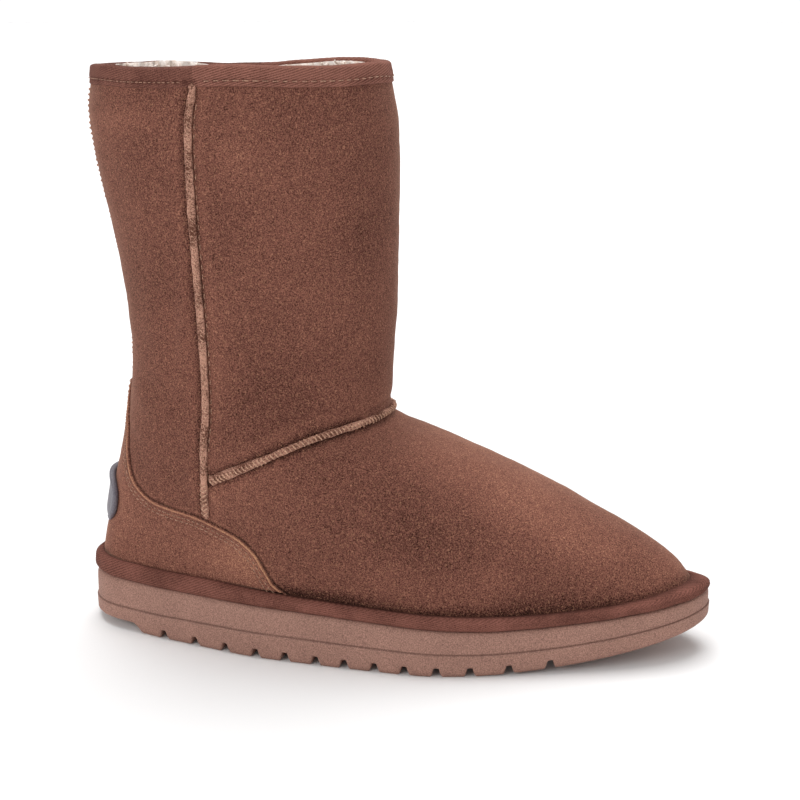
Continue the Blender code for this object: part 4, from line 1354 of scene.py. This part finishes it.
def stitch_tree():
    """Geometry Nodes: an arched thread at each guide point, along its run and square to its out."""
    sizes = {"Length": 2.2 * MM, "Thread radius": 0.28 * MM, "Rise": 0.35 * MM, "Drop": 0.3 * MM}
    tree, given = begin_tree("sewn_stitches", "Guide points", sizes, "Thread", "Stitches")
    sockets = {0: given["Length"], 1: 0.5}
    half = add_node(tree, "ShaderNodeMath", sockets, operation="MULTIPLY").outputs[0]
    behind = add_node(tree, "ShaderNodeMath", {0: half, 1: -1.0}, operation="MULTIPLY").outputs[0]
    sockets = {0: given["Drop"], 1: -1.0}
    sunk = add_node(tree, "ShaderNodeMath", sockets, operation="MULTIPLY").outputs[0]
    sockets = {0: given["Rise"], 1: 2.0, 2: given["Drop"]}
    crown = add_node(tree, "ShaderNodeMath", sockets, operation="MULTIPLY_ADD").outputs[0]
    start = add_node(tree, "ShaderNodeCombineXYZ", {"X": behind, "Z": sunk}).outputs[0]
    middle = add_node(tree, "ShaderNodeCombineXYZ", {"Z": crown}).outputs[0]
    end = add_node(tree, "ShaderNodeCombineXYZ", {"X": half, "Z": sunk}).outputs[0]
    sockets = {"Resolution": 7, "Start": start, "Middle": middle, "End": end}
    arch = add_node(tree, "GeometryNodeCurveQuadraticBezier", sockets).outputs[0]
    sockets = {"Resolution": 6, "Radius": given["Thread radius"]}
    ply = add_node(tree, "GeometryNodeCurvePrimitiveCircle", sockets).outputs[0]
    sockets = {"Curve": arch, "Profile Curve": ply, "Fill Caps": True}
    thread = add_node(tree, "GeometryNodeCurveToMesh", sockets).outputs[0]
    turns = []
    for label, axis in (("out", "Z"), ("run", "X")):
        kind = "GeometryNodeInputNamedAttribute"
        way = add_node(tree, kind, {"Name": label}, data_type="FLOAT_VECTOR")
        sockets = {"Vector": way.outputs[0]}
        if turns:
            sockets["Rotation"] = turns[-1]
        pivot = "Z" if axis == "X" else "AUTO"
        kind = "FunctionNodeAlignRotationToVector"
        turn = add_node(tree, kind, sockets, axis=axis, pivot_axis=pivot)
        turns.append(turn.outputs[0])
    sockets = {"Min": (0.72, 0.75, 0.5), "Max": (1.12, 1.12, 1.25), "Seed": SEED}
    size = add_node(tree, "FunctionNodeRandomValue", sockets, data_type="FLOAT_VECTOR").outputs[0]
    sockets = {
        "Points": given["Guide points"],
        "Instance": thread,
        "Rotation": turns[-1],
        "Scale": size,
    }
    sewn = add_node(tree, "GeometryNodeInstanceOnPoints", sockets).outputs[0]
    end_tree(tree, sewn, given["Thread"], "Stitches")
    return tree


def grown(source, tree, sizes):
    """The plain mesh that a tree makes from a source object, which is then removed."""
    step = source.modifiers.new(tree.name, "NODES")
    step.node_group = tree
    for item in tree.interface.items_tree:
        if item.in_out == "INPUT" and item.name in sizes:
            step[item.identifier] = sizes[item.name]
    view = bpy.context.evaluated_depsgraph_get()
    mesh = bpy.data.meshes.new_from_object(source.evaluated_get(view))
    bpy.data.objects.remove(source, do_unlink=True)
    return mesh


Row = namedtuple("Row", "points runs outs length radius rise drop")


def sew(name, rows, tree, finish, slot):
    """Joins the stitches of several rows into one piece."""
    work = bmesh.new()
    for row in rows:
        guide = bpy.data.meshes.new("guide_points")
        guide.from_pydata(placed(row.points).tolist(), [], [])
        for label, ways in (("run", row.runs), ("out", row.outs)):
            field = guide.attributes.new(label, "FLOAT_VECTOR", "POINT")
            field.data.foreach_set("vector", np.asarray(ways, np.float32).ravel())
        source = bpy.data.objects.new("guide_points", guide)
        bpy.context.scene.collection.objects.link(source)
        sizes = {
            "Length": row.length,
            "Thread radius": row.radius,
            "Rise": row.rise,
            "Drop": row.drop,
            "Thread": finish,
        }
        made = grown(source, tree, sizes)
        work.from_mesh(made)
        bpy.data.meshes.remove(made)
    mesh = bpy.data.meshes.new(name)
    work.to_mesh(mesh)
    work.free()
    add_piece(name, mesh, finish, slot)


def whip_row(path, tall, whip, side=1.0):
    """Stitches over a ridge of this height. side turns slant and shift over on the inner side."""
    points, normals, ahead = path
    across = np.cross(ahead, normals)
    at = lengths(points)
    pitch = whip.pitch * MM
    stops = np.arange(pitch, at[-1] - pitch / 2.0, pitch)
    pick = np.searchsorted(at, stops)
    turn = math.radians(whip.slant * side)
    runs = across[pick] * math.cos(turn) + ahead[pick] * math.sin(turn)
    lift, shift = tall + whip.lift * MM, whip.shift * MM * side
    middles = points[pick] + normals[pick] * lift + across[pick] * shift
    sizes = whip.length * MM, whip.radius * MM, 0.45 * MM, 0.55 * MM
    return Row(middles, runs, normals[pick], *sizes)


def dash_row(path, dash, side=1.0):
    """A row of running stitches along a path, each as long as its share of the pitch."""
    points, normals, ahead = path
    across = np.cross(ahead, normals)
    at = lengths(points)
    pitch = dash.pitch * MM
    stops = np.arange(pitch / 2.0, at[-1], pitch)
    pick = np.searchsorted(at, stops).clip(0, len(at) - 1)
    lift, shift = dash.lift * MM, dash.shift * MM * side
    middles = points[pick] + normals[pick] * lift + across[pick] * shift
    sizes = pitch * dash.share, dash.radius * MM, 0.16 * MM, 0.22 * MM
    return Row(middles, ahead[pick], normals[pick], *sizes)


def fleece_tree():
    """Geometry Nodes: curled locks of wool that stand off a surface and fall over at random."""
    sizes = {"Density": 1.0, "Length": 5.0 * MM, "Radius": 0.9 * MM}
    tree, given = begin_tree("wool_locks", "Skin", sizes, "Wool", "Locks")
    sockets = {"Mesh": given["Skin"], "Density": given["Density"], "Seed": SEED}
    spread = add_node(tree, "GeometryNodeDistributePointsOnFaces", sockets)
    sockets = {0: given["Length"], 1: 0.55}
    bend = add_node(tree, "ShaderNodeMath", sockets, operation="MULTIPLY").outputs[0]
    sockets = {0: given["Length"], 1: 0.75}
    tip = add_node(tree, "ShaderNodeMath", sockets, operation="MULTIPLY").outputs[0]
    middle = add_node(tree, "ShaderNodeCombineXYZ", {"Z": tip}).outputs[0]
    end = add_node(tree, "ShaderNodeCombineXYZ", {"X": bend, "Z": tip}).outputs[0]
    sockets = {"Resolution": 4, "Start": (0.0, 0.0, 0.0), "Middle": middle, "End": end}
    arch = add_node(tree, "GeometryNodeCurveQuadraticBezier", sockets).outputs[0]
    share = add_node(tree, "GeometryNodeSplineParameter").outputs["Factor"]
    sockets = {"Value": share, "To Min": 1.0, "To Max": 0.45}
    taper = add_node(tree, "ShaderNodeMapRange", sockets).outputs["Result"]
    sockets = {"Resolution": 5, "Radius": given["Radius"]}
    tuft = add_node(tree, "GeometryNodeCurvePrimitiveCircle", sockets).outputs[0]
    sockets = {"Curve": arch, "Profile Curve": tuft, "Scale": taper, "Fill Caps": True}
    lock = add_node(tree, "GeometryNodeCurveToMesh", sockets).outputs[0]
    sockets = {"Min": (-0.5, -0.5, 0.0), "Max": (0.5, 0.5, 2.0 * math.pi), "Seed": SEED + 1}
    lean = add_node(tree, "FunctionNodeRandomValue", sockets, data_type="FLOAT_VECTOR").outputs[0]
    sockets = {"Rotation": spread.outputs["Rotation"], "Rotate By": lean}
    turned = add_node(tree, "FunctionNodeRotateRotation", sockets, rotation_space="LOCAL")
    sockets = {2: 0.6, 3: 1.25, "Seed": SEED + 2}
    size = add_node(tree, "FunctionNodeRandomValue", sockets, data_type="FLOAT").outputs[1]
    sockets = {
        "Points": spread.outputs["Points"],
        "Instance": lock,
        "Rotation": turned.outputs[0],
        "Scale": size,
    }
    stood = add_node(tree, "GeometryNodeInstanceOnPoints", sockets).outputs[0]
    end_tree(tree, stood, given["Wool"], "Locks")
    return tree


def build_locks(name, finish, tree, rings, inwards, density, length, radius):
    """Locks of wool on the inside of the shaft between two rings."""
    angle = full_turn(WOOL_COLUMNS)
    row_rings = np.linspace(*rings, 12)[None, :]
    rows = skin(angle[:, None], row_rings, -inwards)
    rows[..., 2] += wool_rise(angle[:, None]) * smooth_step((row_rings - COLLAR_RING + 0.5) / 0.5)
    count, size = rows.shape[:2]
    faces = grid_faces(count, size, around=True, closed=False).tolist()
    mesh = bpy.data.meshes.new(name)
    mesh.from_pydata(placed(rows.reshape(-1, 3)).tolist(), [], faces)
    mesh.update()
    first = mesh.polygons[0]
    inward = placed(SHAFT_MIDDLE) - np.array(first.center)
    if np.dot(np.array(first.normal), inward) < 0.0:
        mesh.flip_normals()
    source = bpy.data.objects.new(name, mesh)
    bpy.context.scene.collection.objects.link(source)
    sizes = {"Density": density, "Length": length, "Radius": radius, "Wool": finish}
    add_piece(name, grown(source, tree, sizes), finish, "fleece")


def build_badge(finish):
    """A soft rubber tab on the counter's back: a raised rim round a bare, faintly domed middle. Its
    upper end stands a little off the counter."""
    turn = full_turn(TAB_COLUMNS)
    round_y = np.sign(np.cos(turn)) * np.abs(np.cos(turn)) ** TAB_ROUNDNESS
    round_z = np.sign(np.sin(turn)) * np.abs(np.sin(turn)) ** TAB_ROUNDNESS
    seat = GAP * 2.0 + COUNTER_THICKNESS
    middle_y = middle_line(0.0)
    rows = []
    for inset, rise in TAB_STEPS:
        y = middle_y + (TAB_WIDTH / 2.0 - inset * MM) * round_y
        z = TAB_MIDDLE_HEIGHT + (TAB_HEIGHT / 2.0 - inset * MM * 0.97) * round_z
        upper_end = smooth_step((z - TAB_MIDDLE_HEIGHT) / (TAB_HEIGHT / 2.0)) ** 2
        lower_end = smooth_step((TAB_MIDDLE_HEIGHT - z) / (TAB_HEIGHT / 2.0)) ** 4
        thinned = (seat + rise * MM) * (1.0 - 0.65 * lower_end)
        lifted = 0.6 * MM * upper_end if rise else 0.0
        rows.append(skin(*rear_position(y, z), thinned + lifted))
    mesh = loft("heel_badge", np.array(rows).transpose(1, 0, 2), closed=False, zipped=True)
    work = bmesh.new()
    work.from_mesh(mesh)
    open_edges = [edge for edge in work.edges if edge.is_boundary]
    bmesh.ops.holes_fill(work, edges=open_edges, sides=0)
    bmesh.ops.recalc_face_normals(work, faces=work.faces)
    work.to_mesh(mesh)
    work.free()
    add_piece("heel_badge", mesh, finish, "tab_rubber", "heel_tab")


def collar_row_path(side, start, end):
    """The collar tape's row of stitches, between two angles of one side."""
    angle = np.linspace(start, end, 600) * side
    z = np.full(600, COLLAR_HEIGHT - COLLAR_TAPE_HEIGHT + COLLAR_DASH_UP * MM)
    return path_frame(angle, ring_at(angle, z), GAP + COLLAR_TAPE_THICKNESS)


def build_sewing(tree, thread, nap_thread):
    """All rows of stitches: pale thread on the seams, brown thread on the tape and the counter."""
    angle, ring = side_seam_path(0.1 * MM, 0.47, 1.93)
    low = ring < ring_at(1.0, height(0.70))
    seams, panels = [], []
    for side in (1.0, -1.0):
        path = mirrored_path(angle[~low], ring[~low], side)
        seams.append(whip_row(path, SEAM_HEIGHT, SIDE_WHIP, side))
        panels.append(dash_row(path, SIDE_DASH, side))
        path = mirrored_path(angle[low], ring[low], side)
        seams += [whip_row(path, SEAM_HEIGHT, whip, side) for whip in (LOW_WHIP, LOW_CROSS_WHIP)]
    path = path_frame(*vamp_seam_path(0.1 * MM))
    seams.append(whip_row(path, VAMP_SEAM_HEIGHT, VAMP_WHIP))
    ends = COUNTER_TOP + 1.0 * MM, COLLAR_HEIGHT - COLLAR_TAPE_HEIGHT - 0.5 * MM
    path = path_frame(*back_seam_path(*ends, 900))
    seams.append(whip_row(path, SEAM_HEIGHT, BACK_WHIP))
    edge_angle, edge_ring = counter_edge_path(0.1 * MM)
    for side in (1.0, -1.0):
        for inwards in COUNTER_DASHES_IN:
            angle, ring = beside(side * edge_angle, edge_ring, -side * inwards * MM)
            path = path_frame(angle, ring, GAP + 0.80 * MM)
            panels.append(dash_row(path, COUNTER_DASH))
        crossing = side_seam_angle(np.full(1, COLLAR_RING - 0.5))[0]
        path = collar_row_path(side, crossing + 0.07, math.pi)
        panels.append(dash_row(path, COLLAR_DASH))
        path = collar_row_path(side, 0.0, crossing - 0.07)
        panels.append(dash_row(path, REAR_COLLAR_DASH))
    sew("seam_thread", seams, tree, thread, "seam_edge")
    sew("panel_thread", panels, tree, nap_thread, "seam_edge")


def build_boot():
    suede = napped_suede()
    hide = turned_hide()
    wool = clipped_wool()
    lines = seam_lines()
    build_upper(suede, lines)
    build_lining(wool)
    build_insole(wool)
    build_collar_band(twill_weave("cotton_twill_collar", "4A2B24", "9C6A5C"))
    build_welt(twill_weave("cotton_twill_welt", "4C2D25", "966256"))
    build_sole(moulded_foam())
    build_counter(suede, lines.counter)
    angle, ring = side_seam_path(0.28 * MM, 0.46, 1.966)
    over_tape = smooth_step((skin(angle, ring)[:, 2] - COLLAR_HEIGHT + 0.0115) / 0.003)
    lift = COLLAR_TAPE_THICKNESS * 0.7 * over_tape
    for name, side in (("outer_side", 1.0), ("inner_side", -1.0)):
        path = mirrored_path(angle, ring, side, lift)
        width, seam = SEAM_WIDTH * 0.84, name + "_seam"
        build_ridge(name + "_ridge", path, width, SEAM_HEIGHT, hide, SIDE_WHIP, seam)
    path = path_frame(*vamp_seam_path(0.25 * MM))
    length = lengths(path[0])
    from_end = np.minimum(length, length[-1] - length)
    width = VAMP_SEAM_WIDTH - (0.5 + 1.6 * smooth_step((from_end - 0.010) / 0.025)[:, None]) * MM
    build_ridge("vamp_ridge", path, width, VAMP_SEAM_HEIGHT, hide, VAMP_WHIP, "vamp_seam")
    ends = COUNTER_TOP + 0.5 * MM, COLLAR_HEIGHT - COLLAR_TAPE_HEIGHT - 0.3 * MM
    path = path_frame(*back_seam_path(*ends, 480))
    tall = SEAM_HEIGHT + BACK_WHIP.lift * MM
    build_ridge("back_ridge", path, BACK_SEAM_WIDTH, tall, hide, BACK_WHIP, "back_seam")
    build_badge(moulded_rubber())
    pale = spun_thread("pale_thread", "855C48", "D4A88C")
    brown = spun_thread("brown_thread", "6E4A38", "BE9278")
    build_sewing(stitch_tree(), pale, brown)
    tree = fleece_tree()
    build_locks("collar_fleece", wool, tree, (14.6, 15.95), 5.6 * MM, 90000.0, 3.7 * MM, 0.95 * MM)


def stage_white(name, albedo, glow):
    made = bpy.data.materials.new(name)
    made.use_nodes = True
    shader = made.node_tree.nodes["Principled BSDF"]
    shader.inputs["Base Color"].default_value = (albedo, albedo, albedo, 1.0)
    shader.inputs["Roughness"].default_value = 1.0
    shader.inputs["Specular IOR Level"].default_value = 0.0
    shader.inputs["Emission Color"].default_value = (1.0, 1.0, 1.0, 1.0)
    shader.inputs["Emission Strength"].default_value = glow
    return made


def build_stage():
    """A white floor and a far white wall under two broad lights, as for a shot on white."""
    bpy.ops.mesh.primitive_plane_add(size=FLOOR_SIZE)
    floor = bpy.context.object
    floor.name = "floor"
    floor.data.materials.append(stage_white("white_floor", FLOOR_ALBEDO, 0.0))
    bpy.ops.mesh.primitive_cylinder_add(
        vertices=96,
        radius=WALL_RADIUS,
        depth=WALL_HEIGHT,
        end_fill_type="NOTHING",
        location=(0.0, 0.0, WALL_MIDDLE),
    )
    wall = bpy.context.object
    wall.name = "wall"
    wall.data.materials.append(stage_white("white_wall", 0.0, WALL_GLOW))
    world = bpy.data.worlds.new("white_studio")
    world.use_nodes = True
    sky = world.node_tree.nodes["Background"]
    sky.inputs["Color"].default_value = (1.0, 1.0, 1.0, 1.0)
    sky.inputs["Strength"].default_value = SKY_STRENGTH
    bpy.context.scene.world = world
    for name, way, spread, strength in OVERHEAD_LIGHTS:
        data = bpy.data.lights.new(name, "SUN")
        data.energy = strength
        data.angle = math.radians(spread)
        lamp = bpy.data.objects.new(name, data)
        yaw, down = math.atan2(way[1], way[0]), math.atan2(-way[2], math.hypot(way[0], way[1]))
        lamp.rotation_euler = (math.pi / 2.0 - down, 0.0, yaw - math.pi / 2.0)
        bpy.context.scene.collection.objects.link(lamp)


def build_camera():
    """The photograph's view: a long lens from the toe's side, a little above the collar."""
    data = bpy.data.cameras.new("photo_camera")
    data.sensor_width = SENSOR_WIDTH
    data.lens = LENS
    camera = bpy.data.objects.new("photo_camera", data)
    camera.location = CAMERA_PLACE
    camera.rotation_euler = (math.pi / 2.0 - CAMERA_DOWN, 0.0, CAMERA_TURN)
    bpy.context.scene.collection.objects.link(camera)
    bpy.context.scene.camera = camera
    bpy.context.scene.view_settings.view_transform = "Standard"


build_camera()
build_stage()
build_boot()
